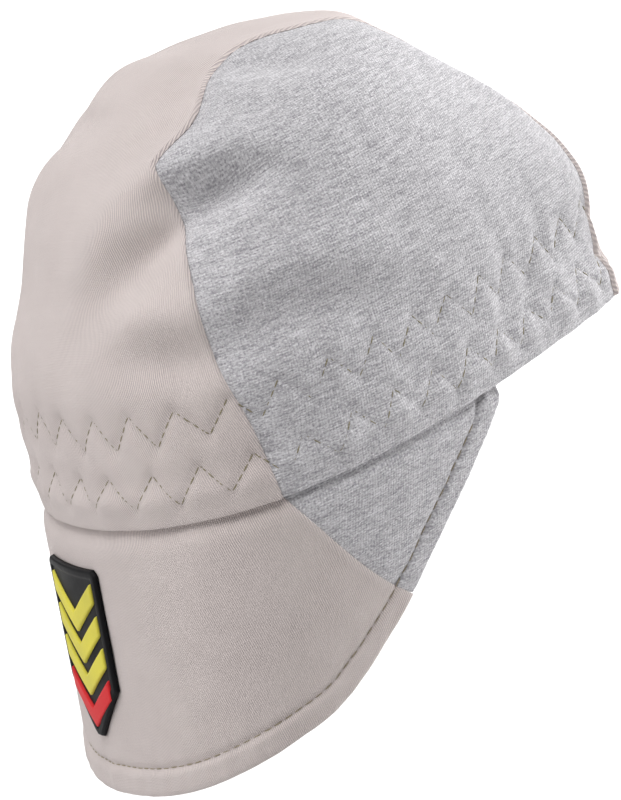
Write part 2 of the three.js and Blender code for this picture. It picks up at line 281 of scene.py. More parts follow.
@dataclass(frozen=True)
class HeatherJersey:
    """Cotton jersey knitted from melange yarn: soft, fuzzy, flecked light and dark in short streaks."""

    ground: str = "#b3b1b4"
    dark_fibre: str = "#7a777d"
    light_fibre: str = "#dddbde"
    wale_pitch: float = 0.00105  # a column of loops
    course_pitch: float = 0.0008  # a row of loops
    fleck: tuple[float, float] = (0.0011, 0.0007)  # length along a course, and height
    streak: tuple[float, float] = (0.0075, 0.0016)
    loop_height: float = 0.00018

    def material(self) -> bpy.types.Material:
        """Returns the jersey's material."""
        material, tree = new_material("Heather cotton jersey")
        place = add_node(tree, "ShaderNodeUVMap", uv_map=UV_NAME).outputs["UV"]
        stretch = {"Vector": place, "Scale": (1 / self.streak[0], 1 / self.streak[1], 1)}
        along_course = add_node(tree, "ShaderNodeMapping", stretch).outputs["Vector"]
        streaks = add_node(tree, "ShaderNodeTexNoise", {
            "Vector": along_course, "Scale": 1.0, "Detail": 4.0, "Roughness": 0.65, "Distortion": 0.5,
        }).outputs["Fac"]
        short = {"Vector": place, "Scale": (1 / self.fleck[0], 1 / self.fleck[1], 1)}
        fibre_place = add_node(tree, "ShaderNodeMapping", short).outputs["Vector"]
        flecks = add_node(tree, "ShaderNodeTexNoise", {
            "Vector": fibre_place, "Scale": 1.0, "Detail": 2.0, "Roughness": 0.75,
        }).outputs["Fac"]
        wales = add_node(tree, "ShaderNodeTexWave", {
            "Vector": place,
            "Scale": 1 / self.wale_pitch / WAVE_TURNS,
            "Distortion": 1.5,
            "Detail": 1.0,
        }).outputs["Fac"]
        courses = add_node(tree, "ShaderNodeTexWave", {
            "Vector": place,
            "Scale": 1 / self.course_pitch / WAVE_TURNS,
            "Distortion": 2.2,
            "Detail": 2.0,
        }, bands_direction="Y").outputs["Fac"]
        loops = combined(tree, "MULTIPLY", wales, 0.4)
        loops = combined(tree, "ADD", loops, combined(tree, "MULTIPLY", courses, 0.6))
        dark = remapped(tree, streaks, 0.5, 0.3, (0, 0.57))
        colour = mixed(tree, dark, linear_colour(self.ground), linear_colour(self.dark_fibre))
        light = remapped(tree, streaks, 0.5, 0.7, (0, 0.52))
        colour = mixed(tree, light, colour, linear_colour(self.light_fibre))
        dark_fleck = remapped(tree, flecks, 0.48, 0.3, (0, 0.85))
        colour = mixed(tree, dark_fleck, colour, linear_colour(self.dark_fibre))
        light_fleck = remapped(tree, flecks, 0.52, 0.7, (0, 0.85))
        colour = mixed(tree, light_fleck, colour, linear_colour(self.light_fibre))
        # The knit is darker between its loops and lighter on them: painted shade and highlight that follow
        # its relief.
        colour = mixed(tree, 1.0, colour, remapped(tree, loops, 0.15, 0.85, (0.86, 1.06)), "MULTIPLY")
        relief = combined(tree, "ADD", loops, flecks)
        bump = add_node(tree, "ShaderNodeBump", {
            "Strength": 0.7, "Distance": self.loop_height, "Height": relief,
        })
        shader = add_node(tree, "ShaderNodeBsdfPrincipled", {
            "Base Color": colour,
            "Roughness": 0.95,
            "IOR": 1.46,
            "Specular IOR Level": 0.15,
            "Sheen Weight": 0.25,
            "Sheen Roughness": 0.55,
            "Normal": bump.outputs["Normal"],
        })
        add_node(tree, "ShaderNodeOutputMaterial", {"Surface": shader.outputs["BSDF"]})
        return material


@dataclass(frozen=True)
class SewingThread:
    """Spun polyester thread: twisted plies, slightly lustrous, a shade darker than the cloth."""

    name: str
    colour: str
    ply_pitch: float = 0.0005
    ply_height: float = 0.00008

    def material(self) -> bpy.types.Material:
        """Returns the thread's material."""
        material, tree = new_material(self.name)
        place = add_node(tree, "ShaderNodeTexCoord").outputs["Object"]
        plies = add_node(tree, "ShaderNodeTexWave", {
            "Vector": place, "Scale": 1 / self.ply_pitch / WAVE_TURNS, "Distortion": 0.5,
        }, bands_direction="DIAGONAL").outputs["Fac"]
        # The thread is darker between its plies and lighter on them: painted shade and highlight of the
        # twist.
        shade = remapped(tree, plies, 0, 1, (0.75, 1.1))
        colour = mixed(tree, 1.0, linear_colour(self.colour), shade, "MULTIPLY")
        bump = add_node(tree, "ShaderNodeBump", {
            "Strength": 0.5, "Distance": self.ply_height, "Height": plies,
        })
        shader = add_node(tree, "ShaderNodeBsdfPrincipled", {
            "Base Color": colour,
            "Roughness": 0.6,
            "IOR": 1.5,
            "Normal": bump.outputs["Normal"],
        })
        add_node(tree, "ShaderNodeOutputMaterial", {"Surface": shader.outputs["BSDF"]})
        return material


@dataclass(frozen=True)
class MouldedRubber:
    """Soft moulded PVC rubber: satin, evenly coloured, with the faint orange peel of its mould."""

    name: str
    colour: str
    roughness: float = 0.52
    peel: float = 0.0011  # width of the orange peel's dimples
    peel_depth: float = 0.00006
    handled: float = 0.0132  # width of the patches that handling leaves

    def material(self) -> bpy.types.Material:
        """Returns the rubber's material."""
        material, tree = new_material(self.name)
        place = add_node(tree, "ShaderNodeTexCoord").outputs["Object"]
        dimples = add_node(tree, "ShaderNodeTexNoise", {
            "Vector": place, "Scale": 1 / self.peel, "Detail": 2.0,
        }).outputs["Fac"]
        handling = add_node(tree, "ShaderNodeTexNoise", {
            "Vector": place, "Scale": 1 / self.handled, "Detail": 3.0,
        }).outputs["Fac"]
        tint = remapped(tree, handling, 0.3, 0.7, (0.92, 1.08))
        colour = mixed(tree, 1.0, linear_colour(self.colour), tint, "MULTIPLY")
        gloss = remapped(tree, handling, 0.3, 0.7, (self.roughness - 0.06, self.roughness + 0.08))
        bump = add_node(tree, "ShaderNodeBump", {
            "Strength": 0.35, "Distance": self.peel_depth, "Height": dimples,
        })
        shader = add_node(tree, "ShaderNodeBsdfPrincipled", {
            "Base Color": colour,
            "Roughness": gloss,
            "IOR": 1.45,
            "Specular IOR Level": 0.15,
            "Normal": bump.outputs["Normal"],
        })
        add_node(tree, "ShaderNodeOutputMaterial", {"Surface": shader.outputs["BSDF"]})
        return material


def place_along(points: np.ndarray, share: np.ndarray) -> np.ndarray:
    """Finds places along a line of points.

    Args:
        points: The line's points, one in each row.
        share: Shares of the way along it, counted in points.

    Returns:
        The places, one in each row.
    """
    place = np.clip(share, 0, 1) * (len(points) - 1)
    index = np.minimum(place.astype(int), len(points) - 2)
    part = (place - index)[:, None]
    return points[index] * (1 - part) + points[index + 1] * part


def even_curve(knots: list[tuple[float, float]], steps: int) -> np.ndarray:
    """Runs a smooth curve through a few points and spaces new points evenly along it.

    Args:
        knots: The points.
        steps: How many steps the result has.

    Returns:
        The new points, one in each row.
    """
    rows = np.array(knots)
    padded = np.vstack([rows[:1], rows, rows[-1:]])
    place = np.linspace(0, len(rows) - 1, CURVE_STEPS)
    fine = hermite(padded, place)
    lengths = np.concatenate([[0], np.cumsum(np.linalg.norm(np.diff(fine, axis=0), axis=1))])
    wanted = np.linspace(0, lengths[-1], steps + 1)
    return np.stack([np.interp(wanted, lengths, fine[:, axis]) for axis in (0, 1)], axis=1)


def hermite(padded: np.ndarray, place: np.ndarray) -> np.ndarray:
    """Runs a smooth curve through rows of values, even where they are uneven.

    Args:
        padded: The rows, with one more before the first and after the last to set the end slopes.
        place: Where to read the curve, counted in rows from the first real one.

    Returns:
        The values, one row for each place.
    """
    index = np.clip(np.floor(place).astype(int), 0, len(padded) - 4)
    t = (place - index)[:, None]
    before, start, end, after = (padded[index + shift] for shift in range(4))
    leaving = (end - before) / 2
    arriving = (after - start) / 2
    return (
        (2 * t**3 - 3 * t**2 + 1) * start
        + (t**3 - 2 * t**2 + t) * leaving
        + (3 * t**2 - 2 * t**3) * end
        + (t**3 - t**2) * arriving
    )


def bell(distance: np.ndarray, width: float) -> np.ndarray:
    """Returns 1 at no distance, falling smoothly to nearly 0 at twice the width."""
    return np.exp(-((distance / width) ** 2))


def ramp(value: np.ndarray, low: float, high: float) -> np.ndarray:
    """Returns 0 below low, 1 above high, and a smooth step between them."""
    share = np.clip((value - low) / (high - low), 0, 1)
    return share * share * (3 - 2 * share)


def soft_noise(points: np.ndarray, size: tuple[float, float, float], seed: float) -> np.ndarray:
    """Reads smooth noise at each point.

    Args:
        points: The points, one in each row.
        size: The width of a bump along each axis.
        seed: Where in the noise the piece lies.

    Returns:
        A value from about -1 to 1 for each point.
    """
    scaled = points / np.array(size)[: points.shape[1]]
    if scaled.shape[1] == 2:
        scaled = np.column_stack([scaled, np.zeros(len(scaled))])
    return np.array([noise.noise(Vector(row) + Vector((seed, -seed, seed))) for row in scaled.tolist()])


def nearest(points: np.ndarray, samples: np.ndarray) -> np.ndarray:
    """Measures how far each point is from the nearest sample.

    Args:
        points: The points, one in each row, of two or three numbers.
        samples: The samples, in the same form.

    Returns:
        A distance for each point.
    """
    tree = kdtree.KDTree(len(samples))
    blank = (0.0,) * (3 - samples.shape[1])
    for number, sample in enumerate(samples.tolist()):
        tree.insert((*sample, *blank), number)
    tree.balance()
    return np.array([tree.find((*point, *blank))[2] for point in points.tolist()])


def sampled(corners: np.ndarray, step: float) -> np.ndarray:
    """Samples a broken line at short steps.

    Args:
        corners: The line's corners, one in each row.
        step: The longest step.

    Returns:
        The samples, one in each row.
    """
    runs = []
    for start, end in zip(corners[:-1], corners[1:]):
        count = max(math.ceil(np.linalg.norm(end - start) / step), 1)
        share = np.linspace(0, 1, count, endpoint=False)[:, None]
        runs.append(start + (end - start) * share)
    return np.vstack([*runs, corners[-1:]])


def oval_place(
    chart: np.ndarray, across: float, along: float, length: float, breadth: float, heading: float
) -> tuple[np.ndarray, np.ndarray]:
    """Measures chart points in the half sizes of a turned oval.

    Args:
        chart: Across and along, one point in each row.
        across: Where the oval's centre is.
        along: Where the oval's centre is.
        length: The oval's half length.
        breadth: The oval's half breadth.
        heading: How far its length is turned from the across direction, in degrees.

    Returns:
        How far each point is lengthways and crossways.
    """
    turn = math.radians(heading)
    x = chart[:, 0] - across
    y = chart[:, 1] - along
    lengthways = (x * math.cos(turn) + y * math.sin(turn)) / length
    return lengthways, (y * math.cos(turn) - x * math.sin(turn)) / breadth


@dataclass
class CrownForm:
    """The crown's shape: its sizes, its sections and its dents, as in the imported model."""

    front_reach: float = 0.0995
    back_reach: float = 0.1015
    half_width: float = 0.0685
    height: float = 0.1266
    pitch: float = math.radians(19)
    dent_depth: float = 0.005
    # Rise, front, back, width and swell, evenly spaced up the cloth from the opening to the top.
    sections: tuple = (
        (0, 1, 1.035, 1, 0.54),
        (0.18, 0.98, 1.005, 1.04, 0.5),
        (0.36, 0.945, 1.015, 1.06, 0.44),
        (0.54, 0.835, 0.885, 1.05, 0.38),
        (0.72, 0.72, 0.69, 0.96, 0.3),
        (0.87, 0.53, 0.515, 0.78, 0.2),
        (0.962, 0.365, 0.35, 0.45, 0.08),
        (1, 0, 0, 0, 0),
    )
    # Across, along, half length, half breadth, heading in degrees and the share of the dents'
    # depth, which is negative where the crown bulges.
    dents: tuple = (
        (0.29, -0.395, 0.16, 0.055, 63, 1.15),
        (0.22, -0.365, 0.16, 0.055, 62, -0.6),
        (0.385, -0.465, 0.12, 0.045, 35, -0.5),
        (0.445, -0.51, 0.12, 0.045, 37, 0.75),
        (0.285, -0.185, 0.13, 0.045, 56, -0.9),
        (0.33, -0.235, 0.13, 0.045, 56, 1.6),
        (0.555, -0.17, 0.25, 0.05, 69, -0.5),
        (0.63, -0.21, 0.26, 0.055, 68, 0.7),
        (0.175, 0, 0.09, 0.045, 62, 0.65),
        (-0.08, -0.24, 0.13, 0.045, 12, 0.5),
        (-0.1, -0.35, 0.15, 0.05, 12, -0.4),
        (-0.36, -0.46, 0.14, 0.06, 145, 0.6),
        (-0.42, -0.08, 0.2, 0.07, 110, 0.6),
        (-0.04, -0.1, 0.2, 0.045, 5, -0.4),
        (0, 0.44, 0.22, 0.09, 90, 0.55),
        (0.15, 0.42, 0.22, 0.06, 90, -0.25),
    )

    def full(self, chart: np.ndarray) -> np.ndarray:
        """Places chart points on the crown before it is dented.

        Args:
            chart: Across and along, one point in each row.

        Returns:
            The points in space, one in each row.
        """
        out = np.hypot(chart[:, 0], chart[:, 1])
        safe = np.maximum(out, 1e-12)
        sine = np.where(out > 0, chart[:, 0] / safe, 0)
        cosine = np.where(out > 0, -chart[:, 1] / safe, 1)
        rows = np.array(self.sections, dtype=float)
        over_top = rows[-2] * np.array([1, -1, -1, -1, 1])
        padded = np.vstack([2 * rows[0] - rows[1], rows, over_top])
        rise, front, back, width, swell = hermite(padded, (1 - out) * (len(rows) - 1)).T
        share = (1 - cosine) / 2
        reach = self.front_reach * front * (1 - share) + self.back_reach * back * share
        level_x = self.half_width * width * (1 + swell * cosine) * sine
        level_y = -reach * cosine
        level_z = self.height * rise
        turn, lift = math.cos(self.pitch), math.sin(self.pitch)
        return np.stack([level_x, level_y * turn - level_z * lift, level_y * lift + level_z * turn], axis=1)

    def normal(self, chart: np.ndarray) -> np.ndarray:
        """Returns the outward unit normals of the crown before it is dented."""
        across = np.array([PROBE, 0.0])
        along = np.array([0.0, PROBE])
        over_across = self.full(chart + across) - self.full(chart - across)
        over_along = self.full(chart + along) - self.full(chart - along)
        cross = np.cross(over_across, over_along)
        return cross / np.linalg.norm(cross, axis=1, keepdims=True)

    def dent(self, chart: np.ndarray) -> np.ndarray:
        """Returns how deep the dents press the crown in at each chart point."""
        depth = np.zeros(len(chart))
        for *oval, share in self.dents:
            lengthways, crossways = oval_place(chart, *oval)
            depth += share * np.exp(-(lengthways**2) - crossways**2)
        return depth * self.dent_depth

    def point(self, chart: np.ndarray, lift: np.ndarray | float = 0.0) -> np.ndarray:
        """Places chart points on the dented crown.

        Args:
            chart: Across and along, one point in each row.
            lift: How far off the cloth each point stands.

        Returns:
            The points in space, one in each row.
        """
        off = np.broadcast_to(lift, (len(chart),)) - self.dent(chart)
        return self.full(chart) + self.normal(chart) * off[:, None]


@dataclass
class CrownSeam:
    """The seam between the centre strip and a side panel, as chart points on the left side."""

    front_angle: float = 59.5  # degrees round the opening, from the front
    back_angle: float = 160.5
    gap: float = 0.00002  # between the cloths, which meet at the seam
    front_steps: int = 112
    top_steps: int = 208
    back_steps: int = 56
    front: tuple = ((0.705, -0.462), (0.525, -0.413), (0.375, -0.342))
    corner: tuple = (0.234, -0.266)
    top: tuple = (
        (0.217, -0.175),
        (0.184, -0.114),
        (0.128, -0.05),
        (0.097, 0.005),
        (0.097, 0.07),
        (0.09, 0.15),
        (0.09, 0.28),
        (0.095, 0.42),
        (0.13, 0.56),
    )
    pinch: tuple = (0.196, 0.69)
    back: tuple = ((0.246, 0.78), (0.295, 0.875))

    @staticmethod
    def on_opening(degrees: float) -> tuple[float, float]:
        """Returns the chart point at an angle round the opening."""
        return math.sin(math.radians(degrees)), -math.cos(math.radians(degrees))

    def line(self) -> np.ndarray:
        """Returns the seam's points, from the front of the opening to its back."""
        front = even_curve([self.on_opening(self.front_angle), *self.front, self.corner], self.front_steps)
        top = even_curve([self.corner, *self.top, self.pinch], self.top_steps)
        back = even_curve([self.pinch, *self.back, self.on_opening(self.back_angle)], self.back_steps)
        return np.vstack([front, top[1:], back[1:]])

    def cleared(self, form: CrownForm, outwards: int) -> np.ndarray:
        """Moves the seam's line sideways by half of its gap.

        Args:
            form: The crown's shape.
            outwards: 1 for the side panel's edge, -1 for the strip's.

        Returns:
            The chart points of the edge.
        """
        line = self.line()
        tangent = np.gradient(line, axis=0)
        sideways = np.stack([tangent[:, 1], -tangent[:, 0]], axis=1)
        sideways /= np.linalg.norm(sideways, axis=1, keepdims=True)
        probe = form.full(line + sideways * PROBE) - form.full(line)
        stretch = np.linalg.norm(probe, axis=1, keepdims=True) / PROBE
        return line + sideways * outwards * self.gap / 2 / stretch


@dataclass
class BandMap:
    """Distances on the crown near its opening: round it from the front, and up from its edge."""

    form: CrownForm
    reach: float = 0.2  # how far up the chart the band reaches
    half_turn: float = 200.0  # degrees that are measured each way, past the back's middle
    steps: int = 1600
    angles: np.ndarray = field(init=False)
    rounds: np.ndarray = field(init=False)
    rates: np.ndarray = field(init=False)

    def __post_init__(self) -> None:
        """Measures the opening once."""
        self.angles = np.radians(np.linspace(-self.half_turn, self.half_turn, self.steps + 1))
        rim = np.stack([np.sin(self.angles), -np.cos(self.angles)], axis=1)
        edge = self.form.full(rim)
        steps = np.linalg.norm(np.diff(edge, axis=0), axis=1)
        lengths = np.concatenate([[0], np.cumsum(steps)])
        self.rounds = lengths - np.interp(0, self.angles, lengths)
        upper = self.form.full(rim * (1 - self.reach))
        self.rates = np.linalg.norm(upper - edge, axis=1) / self.reach

    def measure(self, chart: np.ndarray) -> np.ndarray:
        """Turns chart points into distances round and up, one pair in each row."""
        out = np.hypot(chart[:, 0], chart[:, 1])
        angle = np.arctan2(chart[:, 0], -chart[:, 1])
        up = (1 - out) * np.interp(angle, self.angles, self.rates)
        return np.stack([np.interp(angle, self.angles, self.rounds), up], axis=1)

    def chart(self, measured: np.ndarray) -> np.ndarray:
        """Turns distances round and up into chart points, one in each row."""
        angle = np.interp(measured[:, 0], self.rounds, self.angles)
        out = 1 - measured[:, 1] / np.interp(angle, self.angles, self.rates)
        return np.stack([out * np.sin(angle), -out * np.cos(angle)], axis=1)

    def girth(self) -> float:
        """Returns the length of the opening's edge, all the way round."""
        return float(np.interp(math.pi, self.angles, self.rounds) * 2)


@dataclass
class ZigzagRow:
    """A row of zigzag stitches round the crown's band."""

    low: float  # how far its lower points are up from the edge
    tall: float
    start: float  # distance round to one of its upper points
    seed: int
    waves: int = 32
    wander: float = 0.0011  # how far a point strays, as the machine and the stretchy cloth allow

    def corners(self, girth: float) -> np.ndarray:
        """Works out the row's corners.

        Args:
            girth: The length of the opening's edge.

        Returns:
            Distances round and up, one corner in each row, all the way round.
        """
        dice = random.Random(self.seed)
        leg = girth / self.waves / 2
        corners = []
        for number in range(2 * self.waves):
            place = self.start + number * leg + dice.uniform(-1, 1) * self.wander
            up = self.low + (self.tall if number % 2 == 0 else 0) + dice.uniform(-1, 1) * self.wander / 2
            corners.append((place - girth if place > girth / 2 else place, up))
        return np.array(corners)

    def legs(self, girth: float) -> list[tuple[np.ndarray, np.ndarray]]:
        """Returns the two ends of each leg. One that crosses the back's middle ends beyond it."""
        corners = self.corners(girth)
        legs = []
        for first, last in zip(corners, np.roll(corners, -1, axis=0)):
            turns = round((first[0] - last[0]) / girth)
            legs.append((first, last + np.array([turns * girth, 0])))
        return legs


@dataclass
class CrownRelief:
    """The small heights that sewing and wear leave in the crown's cloth."""

    form: CrownForm
    seam: CrownSeam
    band: BandMap
    rows: tuple = (
        ZigzagRow(low=0.0066, tall=0.0102, start=0.0045, seed=3),
        ZigzagRow(low=0.0252, tall=0.0104, start=0.0021, seed=8),
    )
    leg_step: float = 0.0005  # between the samples that stand for a leg of zigzag
    furrow: float = 0.00075  # depth of the cloth under a leg of zigzag
    furrow_width: float = 0.0013
    needle_width: float = 0.0016  # of the dimple at a corner of the zigzag
    needle_depth: float = 0.000375
    puff: float = 0.0005  # how far the cloth swells between the legs
    puff_clear: float = 0.004  # how far from a leg it swells in full
    puff_end: tuple = (0.036, 0.05)  # heights between which the swelling fades
    band_height: float = 0.06  # the rows change nothing above it
    jersey_furrow: float = 0.68  # the jersey's furrows and puffs, as a share of the twill's
    seam_ridge: float = 0.0005  # the folded edge of the strip at the seam
    seam_ridge_width: float = 0.0014
    seam_dip: float = 0.0004
    seam_dip_width: float = 0.0024
    seam_fold: float = 0.0006  # how far from the seam the strip's edge turns in
    seam_flatness: float = 0.85  # how much flatter the seams are behind the top
    flat_middle: float = 0.3  # where along the chart they are flattest
    flat_reach: float = 0.3
    allowance: float = 0.0003  # the seam allowance under the strip
    allowance_end: tuple = (0.005, 0.008)
    edge_roll: float = 0.0013
    edge_roll_up: float = 0.0088  # from the crown's edge to the middle of the roll
    edge_roll_width: float = 0.0042
    edge_tuck: float = 0.00026
    edge_tuck_width: float = 0.001
    crumple: float = 0.0008
    crumple_size: tuple = (0.034, 0.011)  # widths of the broad creases and of the small ones
    crumple_seed: tuple = (3.7, 9.1)
    crumple_share: float = 0.3  # the height of the small creases next to the broad ones
    crumple_start: float = 0.02  # how far up from the edge the broad creases have set in
    gathers: float = 0.0007
    gather_size: tuple = (0.0075, 0.022)
    gather_seed: float = 5.3
    gathers_up: float = 0.02
    gathers_reach: float = 0.03
    jersey_crumple: float = 1.3  # the jersey's creases and gathers, as a share of the twill's
    # Across, along, half length, half breadth, heading in degrees and height, in each row.
    pinches: tuple = (
        (0.3, -0.23, 0.1, 0.024, 56, 0.0036),
        (0.285, -0.345, 0.075, 0.036, 62, 0.0034),
    )

    def __post_init__(self) -> None:
        """Samples the seams and the stitch rows once."""
        line = self.seam.line()
        both = np.vstack([line, line * np.array([-1, 1])])
        self.seam_samples = self.form.full(both)
        girth = self.band.girth()
        legs = [np.array(leg) for row in self.rows for leg in row.legs(girth)]
        # The crown's back is both ends of the band, so a leg there presses on both.
        legs += [leg - [girth, 0] for leg in legs if leg[:, 0].max() > girth / 2]
        self.leg_samples = np.vstack([sampled(leg, self.leg_step) for leg in legs])
        self.needle_samples = np.vstack(legs)

    def lift(self, chart: np.ndarray, cloth: Cloth) -> np.ndarray:
        """Works out how far the cloth stands off the plain crown.

        Args:
            chart: Across and along, one point in each row.
            cloth: The cloth of the panel.

        Returns:
            A height for each point.
        """
        space = self.form.full(chart)
        measured = self.band.measure(chart)
        seam_distance = nearest(space, self.seam_samples)
        flattened = self.seam_flatness * bell(chart[:, 1] - self.flat_middle, self.flat_reach)
        lift = self._seam(seam_distance, cloth) * (1 - flattened)
        lift += self._band(measured, cloth)
        lift += self._edge(measured[:, 1])
        lift += self._pinches(chart)
        lift += self._crumple(space, measured, cloth)
        return lift

    def _pinches(self, chart: np.ndarray) -> np.ndarray:
        """Returns the pinched folds, each high on its upper side and low on the other."""
        lift = np.zeros(len(chart))
        for *oval, height in self.pinches:
            lengthways, crossways = oval_place(chart, *oval)
            lift += height * crossways * np.exp(-(lengthways**2) - crossways**2)
        return lift

    def _seam(self, distance: np.ndarray, cloth: Cloth) -> np.ndarray:
        """Returns the ridge on the strip's side of a seam, or the dip on the panel's side."""
        if cloth is Cloth.TWILL:
            ridge = bell(distance - self.seam_ridge_width, self.seam_ridge_width)
            allowance = self.allowance * (1 - ramp(distance, *self.allowance_end))
            folded_in = self.seam_dip * bell(distance, self.seam_fold)
            return (self.seam_ridge * ridge + allowance) * ramp(distance, 0, 2 * self.seam_fold) - folded_in
        return -self.seam_dip * bell(distance, self.seam_dip_width)

    def _band(self, measured: np.ndarray, cloth: Cloth) -> np.ndarray:
        """Returns the furrows under the zigzag legs and the puffs between them."""
        up = measured[:, 1]
        stretchy = self.jersey_furrow if cloth is Cloth.JERSEY else 1.0
        near = up < self.band_height
        lift = np.zeros(len(up))
        legs = nearest(measured[near], self.leg_samples)
        needles = nearest(measured[near], self.needle_samples)
        furrow = -self.furrow * bell(legs, self.furrow_width)
        puff = self.puff * (1 - bell(legs, self.puff_clear)) * (1 - ramp(up[near], *self.puff_end))
        dimple = -self.needle_depth * bell(needles, self.needle_width)
        lift[near] = (furrow + puff + dimple) * stretchy
        return lift

    def _edge(self, up: np.ndarray) -> np.ndarray:
        """Returns the soft roll of the folded edge, which leans in towards the opening."""
        roll = self.edge_roll * bell(up - self.edge_roll_up, self.edge_roll_width)
        return roll - self.edge_tuck * bell(up, self.edge_tuck_width)

    def _crumple(self, space: np.ndarray, measured: np.ndarray, cloth: Cloth) -> np.ndarray:
        """Returns the creases of wear, and the gathers that run up from the stitches."""
        stretchy = self.jersey_crumple if cloth is Cloth.JERSEY else 1.0
        broad, small = (
            soft_noise(space, (size, size, size), seed)
            for size, seed in zip(self.crumple_size, self.crumple_seed)
        )
        gathers = soft_noise(measured, self.gather_size, self.gather_seed)
        gathered = bell(measured[:, 1] - self.gathers_up, self.gathers_reach)
        free = ramp(measured[:, 1], 0.0, self.crumple_start)
        creases = self.crumple * (broad * free + self.crumple_share * small)
        return stretchy * (creases + self.gathers * gathers * gathered)

    def point(self, chart: np.ndarray, cloth: Cloth, above: float = 0.0) -> np.ndarray:
        """Places chart points on the finished cloth.

        Args:
            chart: Across and along, one point in each row.
            cloth: The cloth of the panel.
            above: How far above the cloth to stand.

        Returns:
            The points in space, one in each row.
        """
        return self.form.point(chart, self.lift(chart, cloth) + above)

    def on_strip(self, chart: np.ndarray) -> np.ndarray:
        """Says for chart points near the opening whether they lie on the strip."""
        line = self.seam.line()
        out = np.hypot(line[:, 0], line[:, 1])
        angle = np.arctan2(line[:, 0], -line[:, 1])
        place = np.hypot(chart[:, 0], chart[:, 1])
        turn = np.abs(np.arctan2(chart[:, 0], -chart[:, 1]))
        front = slice(0, self.seam.front_steps + 1)
        back = slice(-self.seam.back_steps - 1, None)
        to_front = np.interp(-place, -out[front], angle[front])
        to_back = np.interp(place, out[back], angle[back])
        return (turn < to_front) | (turn > to_back)


def cloth_lattice(columns: int, rows: int, s: np.ndarray, t: np.ndarray, plain: np.ndarray) -> np.ndarray:
    """Arranges a mapped grid's points by row and column.

    Args:
        columns: The grid's columns.
        rows: The grid's rows.
        s: Each point's share of the way across.
        t: Each point's share of the way up.
        plain: The points in space.

    Returns:
        The points as rows of columns.
    """
    lattice = np.zeros((rows + 1, columns + 1, 3))
    lattice[np.rint(t * rows).astype(int), np.rint(s * columns).astype(int)] = plain
    return lattice


@dataclass
class ClothCut:
    """What a piece of cloth measures when it lies flat, and its texture's place on it."""

    columns: int
    rows: int
    width: float = 0.0
    length: float = 0.0
    area: float = 0.0

    def texture(self, s: np.ndarray, t: np.ndarray, plain: np.ndarray) -> np.ndarray:
        """Lays a texture on the cloth in metres, across from its middle and up from its lower edge.

        Args:
            s: Each point's share of the way across.
            t: Each point's share of the way up.
            plain: The points in space, without folds.

        Returns:
            The texture's place for each point.
        """
        lattice = cloth_lattice(self.columns, self.rows, s, t, plain)
        steps_across = np.linalg.norm(np.diff(lattice, axis=1), axis=2)
        steps_up = np.linalg.norm(np.diff(lattice, axis=0), axis=2)
        across = np.pad(np.cumsum(steps_across, axis=1), ((0, 0), (1, 0)))
        up = np.pad(np.cumsum(steps_up, axis=0), ((1, 0), (0, 0)))
        self.width = float(across[:, -1].max())
        self.length = float(up[-1].max())
        edges_across = np.diff(lattice, axis=1)[:-1]
        edges_up = np.diff(lattice, axis=0)[:, :-1]
        self.area = float(np.linalg.norm(np.cross(edges_across, edges_up), axis=2).sum())
        across -= across[:, self.columns // 2][:, None]
        row, column = np.rint(t * self.rows).astype(int), np.rint(s * self.columns).astype(int)
        return np.stack([across[row, column], up[row, column]], axis=1)


def cloth_piece(
    name: str, cut: ClothCut, surface: Surface, wall: float, rounding: float
) -> bpy.types.Object:
    """Maps a flat grid onto a surface and gives it the cloth's thickness and rounded edges.

    Args:
        name: The piece's name.
        cut: The grid's columns and rows, which takes the cloth's measures.
        surface: Gives the points and the unfolded points for shares across and up, and the places
            on its texture where the weave doesn't follow the grid.
        wall: The cloth's thickness.
        rounding: The radius of its edges.

    Returns:
        The new object.
    """
    grid = bmesh.new()
    bmesh.ops.create_grid(grid, x_segments=cut.columns, y_segments=cut.rows, size=1)
    mesh = bpy.data.meshes.new(name)
    grid.to_mesh(mesh)
    grid.free()
    flat = np.empty(3 * len(mesh.vertices), dtype=np.float32)
    mesh.vertices.foreach_get("co", flat)
    s, t = (flat.reshape(-1, 3)[:, :2].T.astype(float) + 1) / 2
    points, plain, *woven = surface(s, t)
    mesh.vertices.foreach_set("co", points.astype(np.float32).ravel())
    corner = np.empty(len(mesh.loops), dtype=np.int32)
    mesh.loops.foreach_get("vertex_index", corner)
    texture = cut.texture(s, t, plain)
    texture = (woven[0] if woven else texture)[corner]
    mesh.uv_layers.new(name=UV_NAME).data.foreach_set("uv", texture.astype(np.float32).ravel())
    mesh.shade_smooth()
    mesh.update()
    piece = bpy.data.objects.new(name, mesh)
    bpy.context.scene.collection.objects.link(piece)
    solidify = piece.modifiers.new("Wall", "SOLIDIFY")
    solidify.thickness = wall
    solidify.offset = -1
    solidify.use_quality_normals = True
    bevel = piece.modifiers.new("Rounded edges", "BEVEL")
    bevel.width = rounding
    bevel.segments = EDGE_SEGMENTS
    bevel.limit_method = "ANGLE"
    bevel.angle_limit = EDGE_ANGLE
    return piece


def add_piece(name: str, shape: bmesh.types.BMesh, material: bpy.types.Material) -> bpy.types.Object:
    """Turns a finished bmesh into an object at the origin.

    Args:
        name: The piece's name.
        shape: The mesh, which is freed.
        material: Its material.

    Returns:
        The new object.
    """
    mesh = bpy.data.meshes.new(name)
    shape.to_mesh(mesh)
    shape.free()
    mesh.shade_smooth()
    mesh.materials.append(material)
    piece = bpy.data.objects.new(name, mesh)
    bpy.context.scene.collection.objects.link(piece)
    return piece


